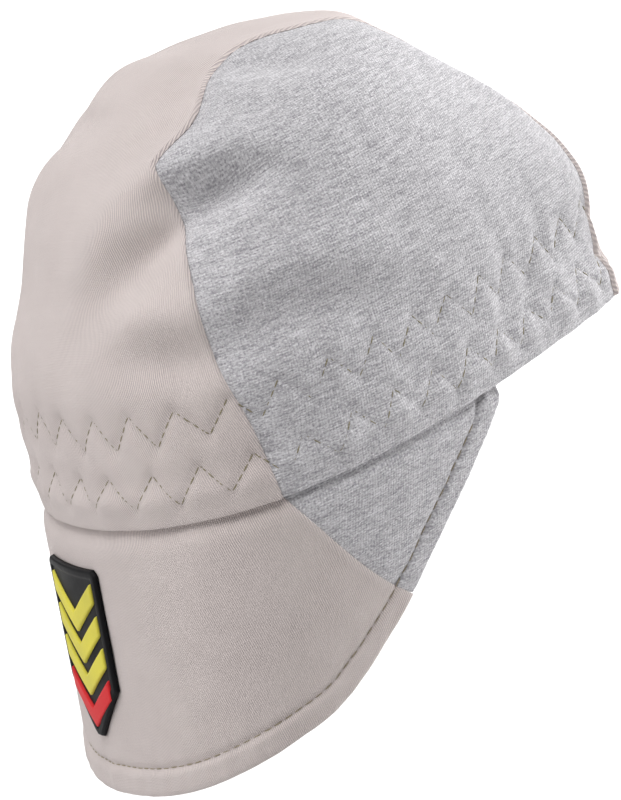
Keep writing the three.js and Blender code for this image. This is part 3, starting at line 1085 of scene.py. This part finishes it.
def stitch_piece(
    name: str, ends: list[tuple[np.ndarray, np.ndarray]], radius: float, material: bpy.types.Material
) -> bpy.types.Object:
    """Lays a slim bead of thread between each pair of needle holes.

    Args:
        name: The piece's name.
        ends: The two ends of each stitch.
        radius: The thread's radius.
        material: The thread's material.

    Returns:
        The new object.
    """
    shape = bmesh.new()
    sides, rings = THREAD_SEGMENTS
    for start, end in ends:
        first, last = Vector(start), Vector(end)
        turn = (last - first).to_track_quat("Z", "Y").to_matrix().to_4x4()
        scale = Matrix.Diagonal((radius, radius, (last - first).length / 2, 1))
        place = Matrix.Translation((first + last) / 2) @ turn @ scale
        bmesh.ops.create_uvsphere(shape, u_segments=sides, v_segments=rings, radius=1, matrix=place)
    return add_piece(name, shape, material)


@dataclass
class Crown:
    """The crown: a twill strip over the front, top and back between two jersey side panels."""

    relief: CrownRelief
    wall: float = 0.0014
    rounding: float = 0.00012
    strip_cut: ClothCut = field(default_factory=lambda: ClothCut(columns=132, rows=286))
    panel_cuts: dict = field(
        default_factory=lambda: {side: ClothCut(columns=200, rows=110) for side in Side}
    )
    # How soon the strip's rows turn straight, away from the opening's arc.
    front_straightening: int = 2
    back_straightening: int = 6
    thread_radius: float = 0.00025
    stitches_a_leg: int = 4
    stitch_share: float = 0.82  # of a stitch's length that lies above the cloth
    # How far stitches stand on the twill, and how deep they lie in the knit, in thread radii.
    proud_on_twill: float = 1 / 3
    sunk_in_jersey: float = 0.75

    @staticmethod
    def _arc_off_chord(end: np.ndarray, s: np.ndarray) -> np.ndarray:
        """Returns how far the opening's arc stands off the straight line between the seams' ends."""
        turn = math.pi if end[1] > 0 else 0.0
        angle = turn + (2 * s - 1) * (math.atan2(end[0], -end[1]) - turn)
        arc = np.hypot(*end) * np.stack([np.sin(angle), -np.cos(angle)], axis=1)
        chord = np.stack([(2 * s - 1) * end[0], np.full(len(s), end[1])], axis=1)
        return arc - chord

    def strip_chart(self, s: np.ndarray, t: np.ndarray) -> np.ndarray:
        """Maps shares across and along the strip to the chart."""
        seam = self.relief.seam.cleared(self.relief.form, -1)
        left = place_along(seam, t)
        place = np.stack([(2 * s - 1) * left[:, 0], left[:, 1]], axis=1)
        at_front = np.maximum(1 - 2 * t, 0)[:, None] ** self.front_straightening
        at_back = np.maximum(2 * t - 1, 0)[:, None] ** self.back_straightening
        place += self._arc_off_chord(seam[0], s) * at_front
        return place + self._arc_off_chord(seam[-1], s) * at_back

    def panel_chart(self, s: np.ndarray, t: np.ndarray) -> np.ndarray:
        """Maps shares back along a side panel and up it to the chart, on the left side."""
        seam = self.relief.seam
        line = seam.cleared(self.relief.form, 1)
        top_end = seam.front_steps + seam.top_steps
        front = line[: seam.front_steps + 1]
        top = line[seam.front_steps : top_end + 1]
        back = line[top_end:][::-1]
        angles = [math.atan2(row[0], -row[1]) for row in (front[0], back[0])]
        angle = angles[0] * (1 - s) + angles[1] * s
        out = np.hypot(*front[0]) * (1 - s) + np.hypot(*back[0]) * s
        arc = out[:, None] * np.stack([np.sin(angle), -np.cos(angle)], axis=1)
        s_column, t_column = s[:, None], t[:, None]
        place = arc * (1 - t_column) + place_along(top, s) * t_column
        place += place_along(front, t) * (1 - s_column) + place_along(back, t) * s_column
        place -= front[0] * (1 - s_column) * (1 - t_column) + back[0] * s_column * (1 - t_column)
        place -= top[0] * (1 - s_column) * t_column + top[-1] * s_column * t_column
        return place

    def strip_surface(self, s: np.ndarray, t: np.ndarray) -> tuple[np.ndarray, np.ndarray]:
        """Returns the strip's points and its unfolded points."""
        chart = self.strip_chart(s, t)
        return self.relief.point(chart, Cloth.TWILL), self.relief.form.full(chart)

    def panel_surface(self, side: Side) -> Surface:
        """Returns the surface function of one side panel."""

        def surface(s: np.ndarray, t: np.ndarray) -> tuple[np.ndarray, np.ndarray]:
            """Returns the panel's points and its unfolded points."""
            backwards = s if side is Side.LEFT else 1 - s
            chart = self.panel_chart(backwards, t) * np.array([side.value, 1])
            return self.relief.point(chart, Cloth.JERSEY), self.relief.form.full(chart)

        return surface

    def zigzag_ends(self, row: ZigzagRow) -> list[tuple[np.ndarray, np.ndarray]]:
        """Works out where each stitch of a zigzag row enters and leaves the cloth."""
        starts, stops = [], []
        margin = (1 - self.stitch_share) / 2
        for first, last in row.legs(self.relief.band.girth()):
            for number in range(self.stitches_a_leg):
                starts.append(first + (last - first) * (number + margin) / self.stitches_a_leg)
                stops.append(first + (last - first) * (number + 1 - margin) / self.stitches_a_leg)
        placed = []
        # Some stitches stand higher than others, and the knit swallows the lower ones.
        dice = random.Random(row.seed + 1)
        proud = np.array([dice.random() for _ in starts])
        for ends in (starts, stops):
            chart = self.relief.band.chart(np.array(ends))
            on_twill = self.thread_radius * proud * self.proud_on_twill
            in_jersey = self.thread_radius * (proud - self.sunk_in_jersey)
            twill = self.relief.point(chart, Cloth.TWILL, on_twill)
            jersey = self.relief.point(chart, Cloth.JERSEY, in_jersey)
            placed.append(np.where(self.relief.on_strip(chart)[:, None], twill, jersey))
        return list(zip(*placed))

    def build(self, cloths: dict[Cloth, bpy.types.Material], thread: bpy.types.Material) -> None:
        """Makes the three panels and their stitches.

        Args:
            cloths: The material of each cloth.
            thread: The material of the zigzag stitches.
        """
        strip = cloth_piece("strip_cloth", self.strip_cut, self.strip_surface, self.wall, self.rounding)
        dress_cloth(strip, "crown_strip", Cloth.TWILL, cloths)
        for number, row in enumerate(self.relief.rows, 1):
            name = f"zigzag_stitches_{number}"
            zigzag = stitch_piece(name, self.zigzag_ends(row), self.thread_radius, thread)
            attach(zigzag, "root")
            log.info("%s: %d faces", zigzag.name, len(zigzag.data.polygons))
        declare_sheet(strip, self.strip_cut)
        for side in Side:
            word = side.name.lower()
            cut, surface = self.panel_cuts[side], self.panel_surface(side)
            panel = cloth_piece(f"{word}_panel_cloth", cut, surface, self.wall, self.rounding)
            dress_cloth(panel, f"side_panel_{word}", Cloth.JERSEY, cloths)
            declare_sheet(panel, cut)


def dress_cloth(
    piece: bpy.types.Object, node: str, cloth: Cloth, cloths: dict[Cloth, bpy.types.Material]
) -> None:
    """Gives a cloth piece its material, its body and the node that it stands for.

    Args:
        piece: The cloth.
        node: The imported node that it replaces.
        cloth: What it is made of.
        cloths: The material of each cloth.
    """
    piece.data.materials.append(cloths[cloth])
    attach(piece, "root")
    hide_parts(node)


def declare_sheet(
    piece: bpy.types.Object, cut: ClothCut
) -> None:
    """Logs a piece of cloth and what it measures when it lies flat.

    Args:
        piece: The cloth.
        cut: What it measures when it lies flat.
    """
    flat = (round(cut.width, 4), round(cut.length, 4))
    log.info("%s: flat %.0f x %.0f mm, %.0f cm2", piece.name, *(1000 * x for x in flat), 1e4 * cut.area)


@dataclass
class Flap:
    """The flap that hangs inside the crown's front edge: a twill middle and two jersey ends."""

    form: CrownForm
    band: BandMap
    depth: float = 0.088
    lap: float = 0.009  # how far it reaches up inside the crown
    inset: float = 0.002  # from the crown's outside to the flap's
    lean: float = math.radians(10.5)  # how far the front leans in towards its foot
    spring: float = 0.003  # how far the flap bends out below the crown's edge
    spring_drop: float = 0.004
    end_angle: float = 110.0
    seam_top_angle: float = 59.5
    seam_foot_angle: float = 89.0
    seam_bow: float = 1.5  # how fast the seam sets out, next to a straight one
    # Shares of the depth, evenly spaced round the opening from the front to the end.
    edge: tuple = (1, 0.993, 0.985, 0.967, 0.935, 0.895, 0.83, 0.65, 0.36, 0.06)
    seam_gap: float = 0.0003  # radians round the opening
    seam_lift: float = 0.0003  # how far the twill stands up beside the seam, and the jersey dips
    seam_ridge_width: float = 0.0013
    seam_dip_width: float = 0.0022
    edge_samples: int = 600
    seam_samples: int = 160
    wall: float = 0.0014
    rounding: float = 0.00012
    hem: float = 0.009
    hem_lift: float = 0.0006
    hem_furrow: float = 0.0008
    hem_furrow_width: float = 0.0012
    hem_slope: float = 0.0015  # how far the hem takes to rise at its edges
    pucker: float = 0.0005
    pucker_size: tuple = (0.0045, 0.012)
    pucker_seed: float = 2.2
    pucker_up: float = 0.0063  # from the flap's edge to where it puckers most
    pucker_reach: float = 0.008
    billow: float = 0.0011
    billow_size: tuple = (0.036, 0.036, 0.06)
    billow_seed: float = 6.4
    crease: float = 0.00025
    crease_size: tuple = (0.011, 0.011, 0.011)
    crease_seed: float = 1.3
    creases_start: tuple = (0.004, 0.03)  # drops between which billows and creases set in
    badge_place: tuple = (0.006, 0.04)  # round and down to the badge, under which the cloth is flat
    badge_reach: tuple = (0.03, 0.05)
    badge_calm: float = 0.9  # the share of the billows that the badge takes out
    bias: float = math.radians(-5)  # the middle is cut this far off the grain
    middle_cut: ClothCut = field(default_factory=lambda: ClothCut(columns=190, rows=96))
    end_cuts: dict = field(default_factory=lambda: {side: ClothCut(columns=76, rows=96) for side in Side})
    thread_radius: float = 0.00024
    stitch_pitch: float = 0.004
    stitch_length: float = 0.0031
    stitch_stray: float = 0.0003
    stitches_start: float = 0.004  # how far below the crown's edge
    stitch_seed: int = 11
    proud: float = 0.4  # how far stitches stand on the cloth, in thread radii
    step_at_seam: float = 0.0005  # how much shorter the jersey is where it meets the twill
    step_reach: float = 0.08  # radians round the opening
    step_start: float = 0.93  # share of the way down
    lap_share: float = 0.1  # of each piece's grid that lies inside the crown

    def depth_at(self, angle: np.ndarray) -> np.ndarray:
        """Returns the flap's depth at angles round the opening, in radians."""
        rows = np.array(self.edge, dtype=float)[:, None]
        padded = np.vstack([rows[1], rows, 2 * rows[-1] - rows[-2]])
        share = np.minimum(np.abs(angle) / math.radians(self.end_angle), 1)
        return self.depth * hermite(padded, share * (len(rows) - 1))[:, 0]

    def plain(self, angle: np.ndarray, drop: np.ndarray) -> np.ndarray:
        """Places angles and drops on the flap, before its folds and stitches.

        Args:
            angle: Angles round the opening, in radians.
            drop: How far down from the crown's edge, negative inside the crown.

        Returns:
            The points in space, one in each row.
        """
        rim = np.stack([np.sin(angle), -np.cos(angle)], axis=1)
        stretch = np.linalg.norm(self.form.full(rim) - self.form.full(rim * (1 - PROBE)), axis=1) / PROBE
        chart = rim * (1 + np.minimum(drop, 0) / stretch)[:, None]
        normal = self.form.normal(chart)
        start = self.form.point(chart) - normal * self.inset
        lean = math.tan(self.lean) * np.cos(angle / 2) ** 2
        down = np.column_stack([-lean * rim[:, 0], -lean * rim[:, 1], -np.ones(len(rim))])
        down /= np.linalg.norm(down, axis=1, keepdims=True)
        free = np.maximum(drop, 0)
        spring = self.spring * (1 - np.exp(-((free / self.spring_drop) ** 2)))
        return start + down * free[:, None] + normal * spring[:, None]

    def normal(self, angle: np.ndarray, drop: np.ndarray) -> np.ndarray:
        """Returns the outward unit normals of the plain flap."""
        over_angle = self.plain(angle + PROBE, drop) - self.plain(angle - PROBE, drop)
        step = PROBE * self.depth
        over_drop = self.plain(angle, drop + step) - self.plain(angle, drop - step)
        cross = np.cross(over_drop, over_angle)
        return cross / np.linalg.norm(cross, axis=1, keepdims=True)

    def measured(self, angle: np.ndarray, drop: np.ndarray) -> np.ndarray:
        """Returns distances round the opening and down, one pair in each row."""
        return np.stack([np.interp(angle, self.band.angles, self.band.rounds), drop], axis=1)

    def seam_angle(self, share: np.ndarray) -> np.ndarray:
        """Returns where the left seam is at shares of the way down, in radians."""
        bowed = np.maximum(share * (self.seam_bow - (self.seam_bow - 1) * share), 0)
        return np.radians(self.seam_top_angle + (self.seam_foot_angle - self.seam_top_angle) * bowed)

    def edge_line(self) -> np.ndarray:
        """Returns the flap's lower edge, as distances round and down."""
        angle = np.radians(np.linspace(-self.end_angle, self.end_angle, self.edge_samples))
        return self.measured(angle, self.depth_at(angle))

    def seam_line(self) -> np.ndarray:
        """Returns both seams, as distances round and down."""
        share = np.linspace(0, 1, self.seam_samples)
        angle = self.seam_angle(share)
        left = self.measured(angle, share * self.depth_at(angle))
        return np.vstack([left, left * np.array([-1, 1])])

    def lift(self, angle: np.ndarray, drop: np.ndarray, cloth: Cloth) -> np.ndarray:
        """Works out how far the cloth stands off the plain flap.

        Args:
            angle: Angles round the opening, in radians.
            drop: How far down from the crown's edge.
            cloth: The cloth of the piece.

        Returns:
            A height for each point.
        """
        place = self.measured(angle, drop)
        space = self.plain(angle, drop)
        to_edge = nearest(place, self.edge_line())
        to_seam = nearest(place, self.seam_line())
        hem = self.hem_lift * (1 - ramp(to_edge, self.hem - self.hem_slope, self.hem))
        hem *= ramp(to_edge, 0, self.hem_slope)
        furrow = self.hem_furrow * bell(to_edge - self.hem, self.hem_furrow_width)
        pucker = self.pucker * soft_noise(place, self.pucker_size, self.pucker_seed)
        pucker *= bell(to_edge - self.pucker_up, self.pucker_reach)
        free = ramp(drop, *self.creases_start)
        from_badge = (np.stack([place[:, 0], drop]).T - self.badge_place) / self.badge_reach
        calm = self.badge_calm * bell(from_badge[:, 0], 1) * bell(from_badge[:, 1], 1)
        waves = self.billow * soft_noise(space, self.billow_size, self.billow_seed) * free * (1 - calm)
        small = self.crease * soft_noise(space, self.crease_size, self.crease_seed) * free
        if cloth is Cloth.TWILL:
            seam = self.seam_lift * bell(to_seam - self.seam_ridge_width, self.seam_ridge_width)
        else:
            seam = -self.seam_lift * bell(to_seam, self.seam_dip_width)
        seam *= ramp(drop, -self.inset, self.inset)
        return hem - furrow + pucker + waves + small + seam

    def surface(self, from_edge: Callable, to_edge: Callable, cloth: Cloth) -> Surface:
        """Returns the surface function of a piece of the flap between two edges.

        Args:
            from_edge: Gives the angle of its right edge for shares of the way down.
            to_edge: Gives the angle of its left edge.
            cloth: What it is made of.

        Returns:
            The surface function.
        """
        lap_share = self.lap_share

        def surface(s: np.ndarray, t: np.ndarray) -> tuple[np.ndarray, np.ndarray]:
            """Returns the piece's points, its unfolded points and its weave."""
            down = 1 - t
            share = np.maximum(down - lap_share, 0) / (1 - lap_share)
            angle = from_edge(share) * (1 - s) + to_edge(share) * s
            drop = share * self.depth_at(angle) - self.lap * np.maximum(1 - down / lap_share, 0)
            if cloth is Cloth.JERSEY:
                beside = np.abs(angle) - math.radians(self.seam_foot_angle)
                low = ramp(share, self.step_start, 1)
                drop -= self.step_at_seam * bell(beside, self.step_reach) * low
            plain = self.plain(angle, drop)
            aside = np.where(drop > 0, PROBE, -PROBE) * self.depth
            lifted = self.normal(angle, drop + aside) * self.lift(angle, drop, cloth)[:, None]
            weave = self.measured(angle, -drop)
            if cloth is Cloth.TWILL:
                turn, lift = math.cos(self.bias), math.sin(self.bias)
                weave = weave @ np.array([[turn, lift], [-lift, turn]])
            return plain + lifted, plain, weave

        return surface

    def hem_ends(self) -> list[tuple[np.ndarray, np.ndarray]]:
        """Works out where each stitch of the hem enters and leaves the cloth."""
        edge = self.edge_line()
        tangent = np.gradient(edge, axis=0)
        tangent /= np.linalg.norm(tangent, axis=1, keepdims=True)
        line = edge + np.stack([tangent[:, 1], -tangent[:, 0]], axis=1) * self.hem
        line = line[line[:, 1] > self.stitches_start]
        lengths = np.concatenate([[0], np.cumsum(np.linalg.norm(np.diff(line, axis=0), axis=1))])
        dice = random.Random(self.stitch_seed)
        count = int(lengths[-1] / self.stitch_pitch)
        strays = np.array([dice.uniform(0, self.stitch_stray) for _ in range(count)])
        starts = np.arange(count) * self.stitch_pitch + strays
        placed = []
        for wanted in (starts, starts + self.stitch_length):
            around, drop = (np.interp(wanted, lengths, line[:, axis]) for axis in (0, 1))
            angle = np.interp(around, self.band.rounds, self.band.angles)
            lift = self.lift(angle, drop, Cloth.TWILL) + self.thread_radius * self.proud
            placed.append(self.plain(angle, drop) + self.normal(angle, drop) * lift[:, None])
        return list(zip(*placed))

    def build(self, cloths: dict[Cloth, bpy.types.Material], thread: bpy.types.Material) -> None:
        """Makes the flap's three pieces and its hem stitches.

        Args:
            cloths: The material of each cloth.
            thread: The material of the hem stitches.
        """
        gap = self.seam_gap
        end = math.radians(self.end_angle)
        middle_surface = self.surface(
            lambda share: gap - self.seam_angle(share),
            lambda share: self.seam_angle(share) - gap,
            Cloth.TWILL,
        )
        left_surface = self.surface(
            lambda share: self.seam_angle(share) + gap,
            lambda share: np.full(len(share), end),
            Cloth.JERSEY,
        )
        right_surface = self.surface(
            lambda share: np.full(len(share), -end),
            lambda share: -self.seam_angle(share) - gap,
            Cloth.JERSEY,
        )
        middle = cloth_piece("flap_middle_cloth", self.middle_cut, middle_surface, self.wall, self.rounding)
        dress_cloth(middle, "flap_middle", Cloth.TWILL, cloths)
        stitches = stitch_piece("hem_stitches", self.hem_ends(), self.thread_radius, thread)
        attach(stitches, "root")
        declare_sheet(middle, self.middle_cut)
        for side, surface in ((Side.LEFT, left_surface), (Side.RIGHT, right_surface)):
            word = side.name.lower()
            cut = self.end_cuts[side]
            piece = cloth_piece(f"flap_{word}_end_cloth", cut, surface, self.wall, self.rounding)
            dress_cloth(piece, f"flap_end_{word}", Cloth.JERSEY, cloths)
            declare_sheet(piece, cut)


@dataclass
class Badge:
    """The badge: a shield of black rubber with a raised rim, and four moulded chevrons on it."""

    flap: Flap
    length: float = 0.0565
    width: float = 0.038
    thickness: float = 0.0016
    drop: float = 0.013  # from the crown's edge to the badge
    offset: float = 0.006  # to the left of the flap's middle
    lean: float = 0.003  # how far its foot lies to the left of its top
    seat: float = 0.0003  # from the flap to the badge's back
    rim: float = 0.0026
    rim_round: float = 0.0011
    rim_slope: float = 0.0005
    sunk: float = 0.0005  # how far the field lies below the rim
    outline_samples: int = 200  # along each side of a moulded piece
    shield_cells: tuple[int, int] = (84, 116)
    chevron_cells: tuple[int, int] = (72, 18)
    # Shares of the way down, and of half the width.
    outline: tuple = ((0, 0.9), (0.03, 1), (0.7, 1), (0.98, 0.16), (1, 0.08))
    chevron_height: float = 0.007
    chevron_pitch: float = 0.0105
    chevron_margin: float = 0.0035
    chevron_drop: float = 0.004
    chevron_sag: float = 0.011
    chevron_proud: float = 0.0009
    chevron_round: float = 0.0009

    def on_flap(self, sideways: np.ndarray, down: np.ndarray, lift: np.ndarray) -> np.ndarray:
        """Places points over the flap's front.

        Args:
            sideways: Distances to the left of the badge's middle.
            down: Distances down from its top.
            lift: Distances off the flap.

        Returns:
            The points in space, one in each row.
        """
        leant = self.lean * (down / self.length - 0.5)
        angle = (self.offset + leant + sideways) / self.flap.form.front_reach
        drop = self.drop + down
        return self.flap.plain(angle, drop) + self.flap.normal(angle, drop) * lift[:, None]

    def half_width(self, down: np.ndarray) -> np.ndarray:
        """Returns the badge's half width at shares of the way down."""
        rows = np.array(self.outline)
        return np.interp(down, rows[:, 0], rows[:, 1]) * self.width / 2

    def slab(
        self,
        name: str,
        cells: tuple[int, int],
        flat: Callable[[np.ndarray, np.ndarray], tuple[np.ndarray, np.ndarray]],
        height: Callable[[np.ndarray], np.ndarray],
        base: float,
        material: bpy.types.Material,
    ) -> bpy.types.Object:
        """Makes a moulded piece: a shaped top over a flat back, joined at their edges.

        Args:
            name: The piece's name.
            cells: The grid's columns and rows.
            flat: Turns shares across and up into distances sideways and down.
            height: Gives the top's height for distances from the outline.
            base: The back's distance off the flap.
            material: The piece's material.

        Returns:
            The new object.
        """
        shape = bmesh.new()
        top = bmesh.ops.create_grid(shape, x_segments=cells[0], y_segments=cells[1], size=1)["verts"]
        back = bmesh.ops.create_grid(shape, x_segments=cells[0], y_segments=cells[1], size=1)["verts"]
        bmesh.ops.reverse_faces(shape, faces=list({face for vertex in back for face in vertex.link_faces}))
        round_share = np.linspace(0, 1, self.outline_samples)
        nought, one = np.zeros_like(round_share), np.ones_like(round_share)
        sides = [(round_share, nought), (round_share, one), (nought, round_share), (one, round_share)]
        outline = np.vstack([np.stack(flat(s, t), axis=1) for s, t in sides])
        for vertices, is_top in ((top, True), (back, False)):
            s, t = (np.array([vertex.co[:2] for vertex in vertices]).T + 1) / 2
            sideways, down = flat(s, t)
            inwards = nearest(np.stack([sideways, down], axis=1), outline)
            edge = (np.abs(2 * s - 1) > 1 - TOUCHING) | (np.abs(2 * t - 1) > 1 - TOUCHING)
            rise = np.where(edge, 0, height(inwards)) if is_top else np.zeros(len(s))
            for vertex, point in zip(vertices, self.on_flap(sideways, down, base + rise)):
                vertex.co = Vector(point)
        bmesh.ops.remove_doubles(shape, verts=shape.verts[:], dist=TOUCHING)
        return add_piece(name, shape, material)

    def base_height(self, inwards: np.ndarray) -> np.ndarray:
        """Returns the shield's height at distances from its outline: a round edge, a rim and a field."""
        edge = np.sqrt(1 - (1 - np.minimum(inwards / self.rim_round, 1)) ** 2)
        return self.thickness * edge - self.sunk * ramp(inwards, self.rim, self.rim + self.rim_slope)

    def chevron_top(self, inwards: np.ndarray) -> np.ndarray:
        """Returns a chevron's height at distances from its outline."""
        edge = np.sqrt(1 - (1 - np.minimum(inwards / self.chevron_round, 1)) ** 2)
        return self.sunk + self.chevron_proud * edge

    def build(self, black: bpy.types.Material, yellow: bpy.types.Material, red: bpy.types.Material) -> None:
        """Makes the shield and its chevrons.

        Args:
            black: The shield's material.
            yellow: The material of the first three chevrons.
            red: The material of the last one.
        """

        def shield(s: np.ndarray, t: np.ndarray) -> tuple[np.ndarray, np.ndarray]:
            """Spreads the grid over the shield's outline."""
            return (2 * s - 1) * self.half_width(1 - t), (1 - t) * self.length

        base = self.slab("badge_shield", self.shield_cells, shield, self.base_height, self.seat, black)
        finish_badge(base, "badge_base", "black_rubber")
        half_span = self.width / 2 - self.chevron_margin
        finishes = [(yellow, "yellow_rubber")] * 3 + [(red, "red_rubber")]
        for index, (material, slot) in enumerate(finishes):

            def band(s: np.ndarray, t: np.ndarray, index: int = index) -> tuple[np.ndarray, np.ndarray]:
                """Spreads the grid over the chevron's outline."""
                sideways = (2 * s - 1) * half_span
                sag = self.chevron_sag * (1 - np.abs(2 * s - 1))
                down = self.chevron_drop + index * self.chevron_pitch + sag
                return sideways, down + (1 - t) * self.chevron_height

            base_lift = self.seat + self.thickness - 2 * self.sunk
            name = f"moulded_chevron_{index + 1}"
            piece = self.slab(name, self.chevron_cells, band, self.chevron_top, base_lift, material)
            finish_badge(piece, f"badge_chevron_{index + 1}", slot)


def finish_badge(piece: bpy.types.Object, node: str, slot: str) -> None:
    """Gives a moulded piece its body and the node that it stands for.

    Args:
        piece: The moulded piece.
        node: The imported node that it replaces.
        slot: The record's material slot; not used.
    """
    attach(piece, "root")
    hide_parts(node)
    log.info("%s: %d faces", piece.name, len(piece.data.polygons))


@dataclass
class Studio:
    """The floor, the soft lights and the camera, which stands where the photograph was taken."""

    azimuth: float = math.radians(68)
    elevation: float = math.radians(7.7)
    distance: float = 1.3
    pixels_per_metre: float = 3100.0
    image_size: tuple[int, int] = (621, 800)
    origin_pixel: tuple[float, float] = (337.0, 403.5)  # where the model's origin shows
    sensor: float = 36.0  # millimetres, along the picture's long side
    softness: float = math.radians(55)  # how wide each light looks from the cap
    floor_drop: float = 0.27  # from the cap's lowest point to the floor
    floor_reach: float = 60.0
    paper: str = "#cccccc"
    backdrop_size: tuple[float, float] = (4.0, 16.0)
    backdrop_start: float = 0.7  # from the cap to the light's near end
    backdrop_height: float = 1.4
    backdrop_share: float = 1.3  # the brightness of its face, next to lit white paper
    surroundings: float = 0.13
    # A name, a place to the camera's right, up its picture and towards it, and a brightness.
    lights: tuple = (
        ("Top light", (-0.2, 0.82, 0.52), 0.95),
        ("Right light", (0.825, 0.31, -0.47), 1.4),
        ("Left light", (-0.97, 0.15, 0.1), 0.4),
    )

    def axes(self) -> tuple[Vector, Vector, Vector]:
        """Returns the directions towards the camera, to its right and up its picture."""
        sine, cosine = math.sin(self.azimuth), math.cos(self.azimuth)
        level, rise = math.cos(self.elevation), math.sin(self.elevation)
        back = Vector((sine * level, -cosine * level, rise))
        right = Vector((cosine, sine, 0))
        up = Vector((-sine * rise, cosine * rise, level))
        return back, right, up

    def build_camera(self) -> None:
        """Makes the camera."""
        back, right, up = self.axes()
        sideways = (self.origin_pixel[0] - self.image_size[0] / 2) / self.pixels_per_metre
        upwards = (self.image_size[1] / 2 - self.origin_pixel[1]) / self.pixels_per_metre
        target = -sideways * right - upwards * up
        data = bpy.data.cameras.new("Camera")
        data.sensor_width = self.sensor
        data.lens = self.sensor * self.distance * self.pixels_per_metre / self.image_size[1]
        camera = bpy.data.objects.new("Camera", data)
        camera.location = target + self.distance * back
        camera.rotation_euler = (-back).to_track_quat("-Z", "Y").to_euler()
        bpy.context.scene.collection.objects.link(camera)
        bpy.context.scene.camera = camera

    def build_light(self, name: str, towards: tuple[float, float, float], share: float) -> None:
        """Makes a broad, even light, as from a large softbox.

        Args:
            name: The light's name.
            towards: Where it stands: to the camera's right, up its picture and towards it.
            share: How brightly it alone shows white paper that faces it.
        """
        data = bpy.data.lights.new(name, "SUN")
        data.angle = self.softness
        data.energy = math.pi * share
        light = bpy.data.objects.new(name, data)
        back, right, up = self.axes()
        from_cap = towards[0] * right + towards[1] * up + towards[2] * back
        light.location = from_cap.normalized() * self.distance
        light.rotation_euler = (-from_cap).to_track_quat("-Z", "Y").to_euler()
        bpy.context.scene.collection.objects.link(light)

    def build_backdrop_light(self, floor_height: float) -> None:
        """Makes the long light that hangs over the floor behind the cap, out of the picture.

        Args:
            floor_height: The floor's height.
        """
        data = bpy.data.lights.new("Backdrop light", "AREA")
        data.shape = "RECTANGLE"
        data.size, data.size_y = self.backdrop_size
        data.energy = math.pi * self.backdrop_share * data.size * data.size_y
        light = bpy.data.objects.new("Backdrop light", data)
        away = -Vector((math.sin(self.azimuth), -math.cos(self.azimuth), 0))
        light.location = away * (self.backdrop_start + data.size_y / 2)
        light.location.z = floor_height + self.backdrop_height
        light.rotation_euler = (0, 0, self.azimuth)
        bpy.context.scene.collection.objects.link(light)

    def build_floor(self, lowest: float) -> None:
        """Makes the white paper floor.

        Args:
            lowest: The height of the cap's lowest point.
        """
        material, tree = new_material("White studio paper")
        shader = add_node(tree, "ShaderNodeBsdfPrincipled", {
            "Base Color": linear_colour(self.paper), "Roughness": 1.0, "Specular IOR Level": 0.0,
        })
        add_node(tree, "ShaderNodeOutputMaterial", {"Surface": shader.outputs["BSDF"]})
        shape = bmesh.new()
        place = Matrix.Translation((0, 0, lowest - self.floor_drop))
        bmesh.ops.create_grid(shape, x_segments=8, y_segments=8, size=self.floor_reach, matrix=place)
        add_piece("floor", shape, material)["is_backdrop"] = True

    def build_world(self) -> None:
        """Makes the even white surroundings."""
        world = bpy.data.worlds.new("Studio")
        world.use_nodes = True
        world.node_tree.nodes.clear()
        even = {"Color": (1, 1, 1, 1), "Strength": self.surroundings}
        light = add_node(world.node_tree, "ShaderNodeBackground", even)
        add_node(world.node_tree, "ShaderNodeOutputWorld", {"Surface": light.outputs["Background"]})
        bpy.context.scene.world = world

    def build(self, lowest: float) -> None:
        """Makes the whole studio.

        Args:
            lowest: The height of the cap's lowest point.
        """
        self.build_camera()
        self.build_floor(lowest)
        self.build_world()
        for name, towards, share in self.lights:
            self.build_light(name, towards, share)
        self.build_backdrop_light(floor_height=lowest - self.floor_drop)
        bpy.context.scene.view_settings.view_transform = "Standard"


def main() -> None:
    """Builds the cap, piece by piece, and the studio round it."""
    logging.basicConfig(level=logging.INFO, format="%(message)s")
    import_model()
    cad_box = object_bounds()
    form = CrownForm()
    band = BandMap(form)
    cloths = {Cloth.TWILL: CottonTwill().material(), Cloth.JERSEY: HeatherJersey().material()}
    olive = SewingThread("Olive polyester thread", "#857d62").material()
    Crown(CrownRelief(form, CrownSeam(), band)).build(cloths, olive)
    flap = Flap(form, band)
    flap.build(cloths, SewingThread("Fawn polyester thread", "#9a8f79").material())
    Badge(flap).build(
        MouldedRubber("Black moulded rubber", "#070609").material(),
        MouldedRubber("Yellow moulded rubber", "#ccc24a").material(),
        MouldedRubber("Red moulded rubber", "#c6282c").material(),
    )
    Studio().build(cad_box[0].z)


if __name__ == "__main__":
    main()
